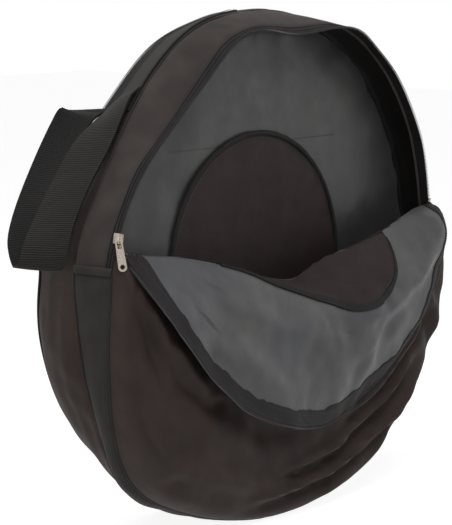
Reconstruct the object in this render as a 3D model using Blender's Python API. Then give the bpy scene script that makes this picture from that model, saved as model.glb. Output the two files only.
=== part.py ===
"""A round, soft wheel bag with two zipped compartments, the front one unzipped.

Metres, +Z up. The bag stands on the pressed-flat bottom of its side band, its front
towards -Y. The origin is on the floor, under the middle of the bag's round outline.
Angles round the bag are in degrees from the top, growing towards +X.
"""

import math

import bmesh
import bpy
from mathutils import Matrix, Vector

# Round outline and depth
RING_R = 0.300
FLOOR_PRESS = 0.0025
FRONT_Y = -0.062
MIDDLE_Y = -0.009
REAR_Y = 0.065
WALL = 0.004
PANEL = 0.004
PIPING_R = 0.002
FIT = 0.0003
SEAM_GAP = 0.001
STEP_DEG = 5.0

# Zip at the edge of each panel, inside the round outline
ZIP_INSET = 0.005
ZIP_END_DEG = 80.0
ZIP_TAPE_W = 0.0117
ZIP_TAPE_T = 0.001
COIL_R = 0.0016
STRIP_INSET = 0.0025
STOP_L = 0.003

# Upper left of the bag, where the handle's pull leaves it slack
DENT_DEG = -52.0
DENT_SPREAD_DEG = 19.0
DENT_DEPTH = 0.024
DENT_FADE_DEG = 68.0
DENT_GONE_DEG = 76.0
DENT_INNER_SHARE = 0.667

# Top of the rear compartment, which sags behind the middle seam
SINK_DEG = -16.0
SINK_SPREAD_DEG = 22.0
SINK_DEPTH = 0.014

# Outer panels, which stand out between their edge and their middle
SWELL_REACH = 0.075
FRONT_SWELL = 0.018
REAR_SWELL = 0.011
PANEL_CENTRE_SHARE = 0.45
PANEL_STATIONS = 14
PANEL_RING_SHARES = (1.0, 0.94, 0.85, 0.73, 0.56, 0.3)

# Round patches that keep a wheel's hub from wearing the cloth
PATCH_R = 0.162
DIVIDER_PATCH_R = 0.155
PATCH_T = 0.0012
BINDING_W = 0.006
BINDING_T = 0.0018

# The front flap, hanging open
PATCH_SHARE = 0.46
PATCH_START_SHARE = 0.12
PATCH_END_SHARE = 0.94
PATCH_ROWS = 4
PATCH_STAND = 0.001
FLAP_INSET = 0.0055
FLAP_HALF_SHARE = 0.926
FLAP_T = 0.003
FOLD_DROOP = 0.066
FOLD_ROUND = 0.025
FOLD_SHARPNESS = 1.2
LIP_REACH = 0.0095
RIDGE_PROUD = 0.016
BELLY_PROUD = 0.028
HEM_SWING_DEG = 12.0
HEM_END_SWING_DEG = 16.0
BELLY_HEIGHT = 0.7
HEM_TAPE_W = 0.011
HEM_TAPE_T = 0.0012
HEM_CORD_W = 0.0042
FLAP_STATIONS = 28
FLAP_ROWS = 9

# Places across the flap, from -1 at its left end to 1 at its right end, and the
# share of RIDGE_PROUD or BELLY_PROUD that the cloth stands forward there
RIDGE_SHARES = ((-1.0, 0.0), (-0.55, 0.35), (0.0, 0.2), (0.4, 1.0), (0.7, 0.55), (1.0, 0.0))
BELLY_SHARES = ((-1.0, 0.0), (-0.5, 0.2), (0.0, 0.95), (0.25, 1.0), (0.7, 0.75), (1.0, 0.1))

# Zip slider and its pull tab
SLIDER_L = 0.011
SLIDER_HALF = 0.0052
SLIDER_SLOT = 0.0040
SLOT_TOP = 0.0022
SLIDER_BACK = 0.0012
CROWN_L = 0.0095
CROWN_W = 0.0022
CROWN_LEG = 0.0015
CROWN_STAND = 0.0030
CROWN_BAR = 0.0013
TAB_L = 0.034
TAB_W = 0.0100
TAB_T = 0.0014
TAB_SLOT_W = 0.0052
TAB_SLOT_L = 0.0080
TAB_END = 0.0016
TAB_HOLE_R = 0.0030
TAB_HOLE_FROM_END = 0.0060
TAB_LEAN_DEG = 11.5
REAR_SLIDER_DEG = 20.0

# Webbing belt and its hanging handle loop
WEBBING_W = 0.050
WEBBING_T = 0.0025
BELT_START_DEG = -45.2
BELT_END_DEG = -5.0
BELT_STEPS = 11
LOOP_START_DEG = -46.0
LOOP_REACH_SHARE = 0.4767
LOOP_BACK = 0.100
LOOP_DROP_SHARE = 0.5333
LOOP_SEAT = 0.0005
BARTACK_L = 0.006
BARTACK_T = 0.0012
BARTACK_FROM_END = 0.004

# Handle loop, a row for each place along it: the front edge's shares of the loop's reach,
# LOOP_BACK and the loop's drop, then the rear edge's. It hangs down at the front, turns at
# the bottom and comes up again behind
LOOP_SHARES = (
    ((0.000, 0.000, 0.000), (0.020, 0.500, 0.010)),
    ((0.250, 0.000, 0.240), (0.300, 0.485, 0.250)),
    ((0.500, 0.000, 0.520), (0.640, 0.455, 0.520)),
    ((0.680, 0.000, 0.760), (0.850, 0.435, 0.750)),
    ((0.775, 0.010, 0.925), (0.960, 0.425, 0.895)),
    ((0.805, 0.055, 0.990), (1.000, 0.465, 0.960)),
    ((0.785, 0.135, 1.010), (0.977, 0.555, 0.990)),
    ((0.730, 0.215, 0.980), (0.910, 0.645, 0.943)),
    ((0.700, 0.305, 0.875), (0.858, 0.745, 0.825)),
    ((0.635, 0.425, 0.655), (0.770, 0.875, 0.593)),
    ((0.543, 0.525, 0.405), (0.627, 0.995, 0.343)),
    ((0.420, 0.545, 0.187), (0.470, 1.000, 0.124)),
    ((0.295, 0.530, 0.080), (0.330, 0.995, 0.006)),
    ((0.162, 0.520, 0.050), (0.190, 0.955, -0.026)),
    ((0.064, 0.515, 0.080), (0.085, 0.905, 0.012)),
)

ZIP_R = RING_R - ZIP_INSET
STRIP_EDGE_R = RING_R - STRIP_INSET
FLAP_R = ZIP_R - FLAP_INSET
FLAP_HALF_W = FLAP_R * FLAP_HALF_SHARE
DENT_INNER_R = RING_R * DENT_INNER_SHARE
LOOP_REACH = RING_R * LOOP_REACH_SHARE
LOOP_DROP = RING_R * LOOP_DROP_SHARE
AXIS_Z = RING_R - FLOOR_PRESS
HINGE_Z = AXIS_Z + ZIP_R * math.cos(math.radians(ZIP_END_DEG))
PANEL_R = RING_R - 2 * PIPING_R - FIT
UPPER = (-ZIP_END_DEG, ZIP_END_DEG)
LOWER = (ZIP_END_DEG, 360.0 - ZIP_END_DEG)
TAPE_BACK = FIT + ZIP_TAPE_W
COIL_BACK = FIT + COIL_R
SLIDER_DEG = ZIP_END_DEG - math.degrees((STOP_L + SLIDER_L / 2 + 2 * SEAM_GAP) / ZIP_R)
FLAP_COIL_R = ZIP_R - 2 * COIL_R - FIT
FLAP_TAPE_R = FLAP_COIL_R - COIL_R - SEAM_GAP


def clear_scene():
    for obj in list(bpy.data.objects):
        bpy.data.objects.remove(obj, do_unlink=True)


def material(name, color, roughness, metallic=0.0):
    """A plain finish, its colour in linear RGB."""
    made = bpy.data.materials.new(name)
    made.use_nodes = True
    shader = made.node_tree.nodes["Principled BSDF"]
    shader.inputs["Base Color"].default_value = (*color, 1.0)
    shader.inputs["Roughness"].default_value = roughness
    shader.inputs["Metallic"].default_value = metallic
    return made


def srgb(code):
    """A six-digit sRGB colour code as linear RGB."""
    parts = [int(code[k : k + 2], 16) / 255 for k in (0, 2, 4)]
    return [p / 12.92 if p <= 0.04045 else ((p + 0.055) / 1.055) ** 2.4 for p in parts]


def smooth_step(low, high, value):
    share = min(1.0, max(0.0, (value - low) / (high - low)))
    return share * share * (3 - 2 * share)


def share_at(shares, place):
    """The share at a place across the flap, eased between the table's rows."""
    for (p0, s0), (p1, s1) in zip(shares, shares[1:]):
        if place <= p1:
            return s0 + (s1 - s0) * smooth_step(p0, p1, place)
    return shares[-1][1]


# Round shapes


def dent(degrees):
    """How far the slack upper left of the bag lies inside the circle."""
    turn = (degrees + 180.0) % 360.0 - 180.0
    depth = DENT_DEPTH * math.exp(-(((turn - DENT_DEG) / DENT_SPREAD_DEG) ** 2))
    return depth * (1.0 - smooth_step(DENT_FADE_DEG, DENT_GONE_DEG, abs(turn)))


def sink(degrees, y):
    """How far the top of the rear compartment lies lower than the middle seam."""
    turn = (degrees + 180.0) % 360.0 - 180.0
    depth = SINK_DEPTH * math.exp(-(((turn - SINK_DEG) / SINK_SPREAD_DEG) ** 2))
    return depth * max(0.0, (y - MIDDLE_Y) / (REAR_Y - MIDDLE_Y))


def swell(x, z, depth):
    """How far a panel stands out at a place: nothing at its edge, the depth in its middle."""
    return depth * smooth_step(0.0, SWELL_REACH, FLAP_TAPE_R - math.hypot(x, z - AXIS_Z))


def settled(point):
    """Draws a point of the round bag in at the slack places and flattens it on the floor."""
    x, y, z = point
    up = z - AXIS_Z
    radius = math.hypot(x, up)
    if radius < DENT_INNER_R:
        return Vector(point)
    degrees = math.degrees(math.atan2(x, up))
    reach = smooth_step(DENT_INNER_R, ZIP_R, radius)
    drawn = (radius - (dent(degrees) + sink(degrees, y)) * reach) / radius
    return Vector((x * drawn, y, max(AXIS_Z + up * drawn, RING_R - radius)))


def on_ring(radius, degrees, y):
    turn = math.radians(degrees)
    return Vector((radius * math.sin(turn), y, AXIS_Z + radius * math.cos(turn)))


def finish(bm, name, finish_material, origin=(0.0, 0.0, 0.0)):
    """Makes the object, its origin at a joint or at the part's origin."""
    bmesh.ops.recalc_face_normals(bm, faces=bm.faces)
    bmesh.ops.translate(bm, verts=bm.verts, vec=-Vector(origin))
    mesh = bpy.data.meshes.new(name)
    bm.to_mesh(mesh)
    bm.free()
    mesh.shade_smooth()
    mesh.set_sharp_from_angle(angle=math.radians(40.0))
    mesh.materials.append(finish_material)
    obj = bpy.data.objects.new(name, mesh)
    obj.location = origin
    bpy.context.scene.collection.objects.link(obj)
    return obj


def turned(name, profile, span, finish_material, gap=0.0, steps=None):
    """A profile of (radius, y) points turned round the bag's axis over a span of degrees."""
    start, end = span
    full = end - start >= 360.0
    radius = max(r for r, _ in profile)
    inset = 0.0 if full else math.degrees(gap / radius)
    count = steps or round((end - start) / STEP_DEG)
    bm = bmesh.new()
    verts = [bm.verts.new(on_ring(r, start + inset, y)) for r, y in profile]
    edges = [bm.edges.new(pair) for pair in zip(verts, verts[1:] + verts[:1])]
    bmesh.ops.spin(
        bm,
        geom=verts + edges,
        cent=(0.0, 0.0, AXIS_Z),
        axis=(0.0, 1.0, 0.0),
        angle=math.radians(end - start - 2 * inset),
        steps=count,
        use_merge=full,
    )
    if not full:
        bmesh.ops.holes_fill(bm, edges=bm.edges[:], sides=len(profile))
    for vert in bm.verts:
        vert.co = settled(vert.co)
    return finish(bm, name, finish_material)


def box_profile(r_in, r_out, y_low, y_high):
    return [(r_in, y_low), (r_out, y_low), (r_out, y_high), (r_in, y_high)]


def cord_profile(radius, y, thickness, sides=8):
    turns = [2 * math.pi * k / sides for k in range(sides)]
    return [(radius + thickness * math.cos(t), y + thickness * math.sin(t)) for t in turns]


def plate(name, outline, y_low, y_high, finish_material, origin=(0.0, 0.0, 0.0)):
    """A flat sheet: an outline of (x, z) points, from y_low to y_high."""
    bm = bmesh.new()
    face = bm.faces.new([bm.verts.new(settled((x, y_low, z))) for x, z in outline])
    made = bmesh.ops.extrude_face_region(bm, geom=[face])["geom"]
    moved = [item for item in made if isinstance(item, bmesh.types.BMVert)]
    bmesh.ops.translate(bm, verts=moved, vec=(0.0, y_high - y_low, 0.0))
    return finish(bm, name, finish_material, origin)


def swollen(name, outline, centre_z, ends_y, depth, finish_material, origin=(0.0, 0.0, 0.0)):
    """A sheet that stands out in its middle: an outline of (x, z) points, between two ys."""
    bm = bmesh.new()

    def vert(x, z, y):
        point = settled((x, ends_y[0], z))
        return bm.verts.new((point.x, y + swell(x, z, depth), point.z))

    layers = []
    for y in ends_y:
        rings = [
            [vert(x * share, centre_z + (z - centre_z) * share, y) for x, z in outline]
            for share in PANEL_RING_SHARES
        ]
        middle = vert(0.0, centre_z, y)
        layers.append(rings)
        for k in range(len(outline)):
            n = (k + 1) % len(outline)
            for outer, inner in zip(rings, rings[1:]):
                bm.faces.new((outer[k], outer[n], inner[n], inner[k]))
            bm.faces.new((rings[-1][k], rings[-1][n], middle))
    low, high = layers[0][0], layers[1][0]
    for k in range(len(outline)):
        n = (k + 1) % len(outline)
        bm.faces.new((low[k], low[n], high[n], high[k]))
    return finish(bm, name, finish_material, origin)


def arc(radius, start, end):
    count = max(1, round(abs(end - start) / STEP_DEG))
    places = [start + (end - start) * k / count for k in range(count + 1)]
    return [(p.x, p.z) for p in (on_ring(radius, place, 0.0) for place in places)]


def sheet(name, rows, thickness, finish_material, origin=(0.0, 0.0, 0.0), lift=0.0):
    """A curved cloth: a grid of points, thickened to its front by the cloth's thickness."""
    tall, wide = len(rows), len(rows[0])

    def normal(i, j):
        along = rows[i][min(j + 1, wide - 1)] - rows[i][max(j - 1, 0)]
        down = rows[min(i + 1, tall - 1)][j] - rows[max(i - 1, 0)][j]
        return along.cross(down).normalized()

    bm = bmesh.new()
    grid = [
        [
            [bm.verts.new(rows[i][j] - normal(i, j) * side) for j in range(wide)]
            for i in range(tall)
        ]
        for side in (lift, lift + thickness)
    ]
    back, front = grid
    for i in range(tall - 1):
        for j in range(wide - 1):
            for layer in grid:
                quad = (layer[i][j], layer[i][j + 1], layer[i + 1][j + 1], layer[i + 1][j])
                bm.faces.new(quad)
    rim = [(0, j) for j in range(wide)] + [(i, wide - 1) for i in range(1, tall)]
    rim += [(tall - 1, j) for j in range(wide - 2, -1, -1)] + [(i, 0) for i in range(tall - 2, 0, -1)]
    for (i, j), (k, m) in zip(rim, rim[1:] + rim[:1]):
        bm.faces.new((back[i][j], back[k][m], front[k][m], front[i][j]))
    return finish(bm, name, finish_material, origin)


def tube(name, points, radius, finish_material, sides=6, origin=(0.0, 0.0, 0.0)):
    """A thin round cord along a list of points."""
    bm = bmesh.new()
    rings = []
    for k, point in enumerate(points):
        ahead = points[min(k + 1, len(points) - 1)] - points[max(k - 1, 0)]
        turn = ahead.to_track_quat("Z", "Y").to_matrix()
        angles = [2 * math.pi * s / sides for s in range(sides)]
        rim = [Vector((radius * math.cos(a), radius * math.sin(a), 0.0)) for a in angles]
        rings.append([bm.verts.new(point + turn @ p) for p in rim])
    for first, second in zip(rings, rings[1:]):
        for s in range(sides):
            bm.faces.new((first[s], first[(s + 1) % sides], second[(s + 1) % sides], second[s]))
    bm.faces.new(rings[0])
    bm.faces.new(rings[-1])
    return finish(bm, name, finish_material, origin)


# Side bands, divider and panels


def half_fold():
    return PANEL_R * math.sin(math.radians(ZIP_END_DEG))


def droop(x):
    """How far the fold of the open front panel hangs below its hinge line."""
    place = math.hypot(x, FOLD_ROUND) / math.hypot(half_fold(), FOLD_ROUND)
    return FOLD_DROOP * max(0.0, 1.0 - place) ** FOLD_SHARPNESS


def across(half, count):
    """Evenly spaced places from -half to half."""
    return [half * (2 * k / count - 1) for k in range(count + 1)]


def fold_line():
    return [(x, HINGE_Z - droop(x)) for x in across(half_fold(), FLAP_STATIONS)]


def make_bands(cloth, band_cloth, piping):
    """The side band of each compartment, the divider's piping between them."""
    inner = RING_R - WALL
    for side, outer, name in ((-1, FRONT_Y, "front"), (1, REAR_Y, "rear")):
        near = MIDDLE_Y + side * (PIPING_R + FIT)
        low, high = sorted((near, outer))
        turned(f"{name}_lower_gusset", box_profile(inner, RING_R, low, high), LOWER, band_cloth)
        edge = outer - side * TAPE_BACK
        strip = [(inner, near), (RING_R, near), (STRIP_EDGE_R, edge), (STRIP_EDGE_R - WALL, edge)]
        turned(f"{name}_zip_gusset", strip, UPPER, cloth, gap=FIT)
        seam = cord_profile(RING_R - PIPING_R, outer + side * (FIT + PIPING_R), PIPING_R)
        turned(f"{name}_piping", seam, LOWER, piping)
    middle = cord_profile(RING_R - PIPING_R, MIDDLE_Y, PIPING_R)
    turned("middle_seam_piping", middle, (0.0, 360.0), piping)


def make_divider(lining, patch_cloth, binding):
    low, high = MIDDLE_Y - PANEL / 2, MIDDLE_Y + PANEL / 2
    plate("divider_panel", arc(PANEL_R, 0.0, 360.0)[:-1], low, high, lining)
    disc = arc(DIVIDER_PATCH_R - BINDING_W - FIT, 0.0, 360.0)[:-1]
    for side, face, name in ((-1, low, "front"), (1, high, "rear")):
        near = face + side * FIT
        patch_y = sorted((near, near + side * PATCH_T))
        plate(f"divider_{name}_hub_patch", disc, *patch_y, patch_cloth)
        ring_y = sorted((near, near + side * BINDING_T))
        ring = box_profile(DIVIDER_PATCH_R - BINDING_W, DIVIDER_PATCH_R, *ring_y)
        turned(f"divider_{name}_patch_binding", ring, (0.0, 360.0), binding)


def make_lower_panels(cloth, patch_cloth, binding):
    """The fixed lower half of each outer panel, its half of the hub patch inside."""
    level = [(x, HINGE_Z) for x in across(half_fold(), PANEL_STATIONS)]
    folds = {"front": fold_line()[1:-1], "rear": level[1:-1]}
    centre_z = AXIS_Z - PANEL_R * PANEL_CENTRE_SHARE
    for side, outer, name in ((-1, FRONT_Y, "front"), (1, REAR_Y, "rear")):
        near = outer + side * FIT
        depth = side * (FRONT_SWELL if side < 0 else REAR_SWELL)
        outline = arc(PANEL_R, *LOWER) + folds[name]
        ends_y = (near, near + side * PANEL)
        swollen(f"{name}_panel_lower", outline, centre_z, ends_y, depth, cloth)
        inner = PATCH_R - BINDING_W - SEAM_GAP
        start = 90.0 + STEP_DEG / 2
        top = [(x, z - BINDING_W) for x, z in fold_line() if abs(x) < inner - BINDING_W]
        top = top if side < 0 else []
        back = near + depth - side * FIT
        half = arc(inner, start, 360.0 - start) + top
        plate(f"{name}_panel_hub_patch", half, *sorted((back, back - side * PATCH_T)), patch_cloth)
        ring = box_profile(PATCH_R - BINDING_W, PATCH_R, *sorted((back, back - side * BINDING_T)))
        turned(f"{name}_panel_patch_binding", ring, (start, 360.0 - start), binding)


# Zips on the bag's side


def make_stops(name, y, finish_material):
    """A block at each end of the coil, which ends the slider's travel."""
    inset = math.degrees((STOP_L / 2 + SEAM_GAP) / ZIP_R)
    for turn, end in ((inset - ZIP_END_DEG, "left"), (ZIP_END_DEG - inset, "right")):
        place = Matrix.Translation(settled(on_ring(ZIP_R, turn, y)))
        size = Matrix.Diagonal((STOP_L, 2 * COIL_R, 2 * COIL_R, 1.0))
        facing = Matrix.Rotation(math.radians(turn), 4, "Y")
        bm = bmesh.new()
        bmesh.ops.create_cube(bm, size=1.0, matrix=place @ facing @ size)
        finish(bm, f"{name}_{end}_zip_stop", finish_material)


def make_bag_zips(tape, coil, metal):
    half = ZIP_TAPE_T / 2
    for side, outer, name in ((-1, FRONT_Y, "front"), (1, REAR_Y, "rear")):
        low, high = sorted((outer - side * ZIP_TAPE_W, outer))
        band = box_profile(ZIP_R - half, ZIP_R + half, low, high)
        turned(f"{name}_zip_tape", band, UPPER, tape, gap=FIT)
        y = outer + side * COIL_BACK
        teeth = cord_profile(ZIP_R, y, COIL_R, sides=6)
        turned(f"{name}_zip_coil", teeth, UPPER, coil, gap=STOP_L + 2 * SEAM_GAP)
        make_stops(name, y, metal)


# Front flap


def hem_drop(x):
    """Distance from the hinge line to the flap's edge, as the closed flap is cut."""
    degrees = math.degrees(math.asin(x / FLAP_R))
    return (FLAP_R - dent(degrees)) * math.cos(math.radians(degrees)) - (HINGE_Z - AXIS_Z)


def flap_section(x):
    """Forward and down distances from the hinge line: the fold, the hem, and the belly."""
    place = x / FLAP_HALF_W
    reach = LIP_REACH + RIDGE_PROUD * share_at(RIDGE_SHARES, place)
    ridge = Vector((reach + swell(x, HINGE_Z - droop(x), FRONT_SWELL), droop(x)))
    swing = math.radians(HEM_SWING_DEG + (HEM_END_SWING_DEG - HEM_SWING_DEG) * place**4)
    drop = hem_drop(x)
    hem = Vector((drop * math.sin(swing), drop * math.cos(swing)))
    return ridge, hem, BELLY_PROUD * share_at(BELLY_SHARES, place)


def flap_point(x, share):
    """A point of the hanging flap, share 0 at the fold and 1 at the hem."""
    ridge, hem, belly = flap_section(x)
    place = ridge.lerp(hem, share)
    forward = place.x + belly * math.sin(math.pi * share**BELLY_HEIGHT)
    return Vector((x, FRONT_Y - forward, HINGE_Z - place.y))


def hem_share(x, width):
    """The share along a section that lies this width inside the round hem."""
    ridge, hem, _ = flap_section(x)
    upright = width * FLAP_R / math.sqrt(FLAP_R**2 - x**2)
    return max(0.0, 1.0 - upright / (hem - ridge).length)


def make_front_flap(cloth, patch_cloth, binding, tape, coil):
    hinge = (0.0, FRONT_Y, HINGE_Z)
    places = across(FLAP_HALF_W, FLAP_STATIONS)
    lip = []
    for x in places:
        fold = HINGE_Z - droop(x)
        lip.append(Vector((x, FRONT_Y - swell(x, fold, FRONT_SWELL), fold + FIT)))
    rows = [lip]
    for k in range(FLAP_ROWS + 1):
        share = k / FLAP_ROWS
        rows.append([flap_point(x, share * hem_share(x, HEM_TAPE_W + FIT)) for x in places])
    sheet("front_flap", rows, FLAP_T, cloth, hinge)
    edge = [[flap_point(x, hem_share(x, w)) for x in places] for w in (HEM_TAPE_W, HEM_CORD_W)]
    sheet("flap_zip_tape", edge, HEM_TAPE_T, tape, hinge, lift=(FLAP_T - HEM_TAPE_T) / 2)
    forward = Vector((0.0, -FLAP_T / 2, 0.0))
    cord = [flap_point(x, hem_share(x, COIL_R)) + forward for x in places]
    tube("flap_zip_coil", cord, COIL_R, coil, origin=hinge)

    half = math.sqrt(PATCH_R**2 - (HINGE_Z - AXIS_Z) ** 2)
    places = [x for x in places if abs(x) < half * PATCH_END_SHARE]

    def low(x):
        reach = math.sqrt(1.0 - (x / half) ** 2)
        return PATCH_START_SHARE + (PATCH_SHARE - PATCH_START_SHARE) * reach

    rows = []
    for k in range(PATCH_ROWS + 1):
        share = k / PATCH_ROWS
        rows.append(
            [flap_point(x, PATCH_START_SHARE * (1 - share) + low(x) * share) for x in places]
        )
    sheet("flap_hub_patch", rows, PATCH_T, patch_cloth, hinge, lift=FLAP_T + PATCH_STAND)
    rows = []
    for width in (FIT, BINDING_W):
        rows.append([flap_point(x, low(x) + 1.0 - hem_share(x, width)) for x in places])
    sheet("flap_patch_binding", rows, BINDING_T, binding, hinge, lift=FLAP_T + PATCH_STAND)


# Rear flap, zipped shut


def make_rear_flap(cloth, patch_cloth, binding, tape, coil):
    low, high = REAR_Y + FIT, REAR_Y + FIT + PANEL
    hinge = (0.0, high + REAR_SWELL + FIT, HINGE_Z)
    base = HINGE_Z + FIT

    def above(radius, inset=0.0):
        """The arc of this radius above the hinge line, with its ends on that line."""
        end = math.degrees(math.acos((base + inset - AXIS_Z) / radius))
        return end

    cloth_r = FLAP_TAPE_R - HEM_TAPE_W - SEAM_GAP
    end = above(cloth_r)
    half = cloth_r * math.sin(math.radians(end))
    level = [(-x, base) for x in across(half, PANEL_STATIONS)]
    outline = arc(cloth_r, -end, end) + level[1:-1]
    centre_z = AXIS_Z + cloth_r * PANEL_CENTRE_SHARE
    swollen("rear_flap", outline, centre_z, (low, high), REAR_SWELL, cloth, hinge)
    end = above(FLAP_TAPE_R - HEM_TAPE_W, FIT)
    tape_y = (low + high - HEM_TAPE_T) / 2
    band = box_profile(FLAP_TAPE_R - HEM_TAPE_W, FLAP_TAPE_R, tape_y, tape_y + HEM_TAPE_T)
    shift_origin(turned("rear_flap_zip_tape", band, (-end, end), tape), hinge)
    end = above(FLAP_COIL_R, 2 * COIL_R)
    teeth = cord_profile(FLAP_COIL_R, REAR_Y + COIL_BACK, COIL_R, sides=6)
    shift_origin(turned("rear_flap_zip_coil", teeth, (-end, end), coil), hinge)
    inner = PATCH_R - BINDING_W - SEAM_GAP
    end = above(inner, BINDING_W)
    back = low + REAR_SWELL - FIT
    plate("rear_flap_hub_patch", arc(inner, -end, end), back - PATCH_T, back, patch_cloth, hinge)
    end = above(PATCH_R - BINDING_W, BINDING_W)
    ring = box_profile(PATCH_R - BINDING_W, PATCH_R, back - BINDING_T, back)
    shift_origin(turned("rear_flap_patch_binding", ring, (-end, end), binding), hinge)


def shift_origin(obj, origin):
    """Moves an object's origin to its joint and leaves its shape in place."""
    obj.data.transform(Matrix.Translation(-Vector(origin)))
    obj.location = origin


# Sliders and pull tabs


def extruded(name, place, outline, spread, finish_material, origin):
    """A closed outline of points in a placed frame, carried along by the vector spread."""
    bm = bmesh.new()
    face = bm.faces.new([bm.verts.new(Vector(point)) for point in outline])
    made = bmesh.ops.extrude_face_region(bm, geom=[face])["geom"]
    moved = [item for item in made if isinstance(item, bmesh.types.BMVert)]
    bmesh.ops.translate(bm, verts=moved, vec=spread)
    bmesh.ops.transform(bm, matrix=place, verts=bm.verts)
    return finish(bm, name, finish_material, origin)


def make_slider(name, side, turn_deg, metal):
    """A slider that straddles the coil, with a bridge over it for the pull tab."""
    outer = FRONT_Y if side < 0 else REAR_Y
    turn = math.radians(turn_deg)
    centre = settled(on_ring(ZIP_R, turn_deg, outer + side * COIL_BACK))
    along = Vector((math.cos(turn), 0.0, -math.sin(turn)))
    radial = Vector((math.sin(turn), 0.0, math.cos(turn)))
    facing = (radial + Vector((0.0, side, 0.0))).normalized()
    width = facing.cross(along)
    place = Matrix.Translation(centre) @ Matrix((along, width, facing)).transposed().to_4x4()
    axis_point = (0.0, outer, AXIS_Z)

    half_l, half_c, start = SLIDER_L / 2, CROWN_L / 2, -SLIDER_L / 2
    body = [
        (start, -SLIDER_HALF, -SLIDER_BACK),
        (start, -SLIDER_SLOT, -SLIDER_BACK),
        (start, -SLIDER_SLOT, SLOT_TOP),
        (start, SLIDER_SLOT, SLOT_TOP),
        (start, SLIDER_SLOT, -SLIDER_BACK),
        (start, SLIDER_HALF, -SLIDER_BACK),
        (start, SLIDER_HALF, SLIDER_HALF),
        (start, -SLIDER_HALF, SLIDER_HALF),
    ]
    slider = extruded(f"{name}_zip_slider", place, body, (2 * half_l, 0.0, 0.0), metal, axis_point)
    foot, under = SLIDER_HALF - CROWN_BAR, SLIDER_HALF + CROWN_STAND
    low, leg = -CROWN_W / 2, half_c - CROWN_LEG
    bridge = [
        (-half_c, low, foot),
        (-leg, low, foot),
        (-leg, low, under),
        (leg, low, under),
        (leg, low, foot),
        (half_c, low, foot),
        (half_c, low, under + CROWN_BAR),
        (-half_c, low, under + CROWN_BAR),
    ]
    crown = extruded(f"{name}_slider_bridge", place, bridge, (0.0, CROWN_W, 0.0), metal, axis_point)
    crown.hide_render = True
    crown.display_type = "WIRE"
    join = slider.modifiers.new("join", "BOOLEAN")
    join.operation = "UNION"
    join.solver = "EXACT"
    join.object = crown
    return centre, along, facing


def make_tab(name, pivot, down, facing, metal):
    """A flat pull with a slot round the slider's bridge and a round hole near its end."""
    facing = (facing - down * facing.dot(down)).normalized()
    width = facing.cross(down)
    turn = Matrix((width, down, facing)).transposed().to_4x4()
    place = Matrix.Translation(pivot) @ turn

    def block(label, low, high):
        bm = bmesh.new()
        centre = (Vector(low) + Vector(high)) / 2
        size = Matrix.Diagonal((*(Vector(high) - Vector(low)), 1.0))
        bmesh.ops.create_cube(bm, size=1.0, matrix=place @ Matrix.Translation(centre) @ size)
        return finish(bm, label, metal, pivot)

    half_w, half_t = TAB_W / 2, TAB_T / 2
    tab = block(f"{name}_pull_tab", (-half_w, -TAB_END / 2, -half_t), (half_w, TAB_L, half_t))
    slot = (-TAB_SLOT_W / 2, TAB_END / 2, -TAB_T), (TAB_SLOT_W / 2, TAB_END / 2 + TAB_SLOT_L, TAB_T)
    cutters = [block(f"{name}_tab_slot", *slot)]
    bm = bmesh.new()
    hole = Vector((0.0, TAB_L - TAB_HOLE_FROM_END, 0.0))
    bmesh.ops.create_cone(
        bm,
        cap_ends=True,
        segments=20,
        radius1=TAB_HOLE_R,
        radius2=TAB_HOLE_R,
        depth=2 * TAB_T,
        matrix=place @ Matrix.Translation(hole),
    )
    cutters.append(finish(bm, f"{name}_tab_hole", metal, pivot))
    for cutter in cutters:
        cutter.hide_render = True
        cutter.display_type = "WIRE"
        cut = tab.modifiers.new("cut", "BOOLEAN")
        cut.operation = "DIFFERENCE"
        cut.solver = "EXACT"
        cut.object = cutter


def make_pulls(metal):
    hang = SLIDER_HALF + CROWN_STAND / 2
    low_end = CROWN_L / 2 - CROWN_LEG - TAB_END
    centre, along, facing = make_slider("front", -1, -SLIDER_DEG, metal)
    lean = math.radians(TAB_LEAN_DEG)
    down = Vector((0.0, -math.sin(lean), -math.cos(lean)))
    make_tab("front", centre + facing * hang - along * low_end, down, facing, metal)
    centre, along, facing = make_slider("rear", 1, REAR_SLIDER_DEG, metal)
    make_tab("rear", centre + facing * hang + along * low_end, along, facing, metal)


# Webbing


def make_webbing(webbing, thread):
    front = MIDDLE_Y + PIPING_R + FIT
    span = (BELT_START_DEG, BELT_END_DEG)
    low, high = RING_R + FIT, RING_R + FIT + WEBBING_T
    belt = box_profile(low, high, front, front + WEBBING_W)
    turned("carry_webbing", belt, span, webbing, steps=BELT_STEPS)
    tack = box_profile(high + FIT, high + FIT + BARTACK_T, front + BARTACK_L, front + WEBBING_W - BARTACK_L)
    length, inset = (math.degrees(v / RING_R) for v in (BARTACK_L, BARTACK_FROM_END))
    turned("lower_bartack", tack, (span[0] + inset, span[0] + inset + length), thread, steps=1)
    turned("upper_bartack", tack, (span[1] - inset - length, span[1] - inset), thread, steps=1)
    start = settled(on_ring(RING_R + FIT + LOOP_SEAT, LOOP_START_DEG, front))
    rows = []
    for edges in LOOP_SHARES:
        ends = [
            start + Vector((-out * LOOP_REACH, back * LOOP_BACK, -down * LOOP_DROP))
            for out, back, down in edges
        ]
        rows.append([ends[1], (ends[0] + ends[1]) / 2, ends[0]])
    sheet("handle_loop", rows, WEBBING_T, webbing, start)


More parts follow.
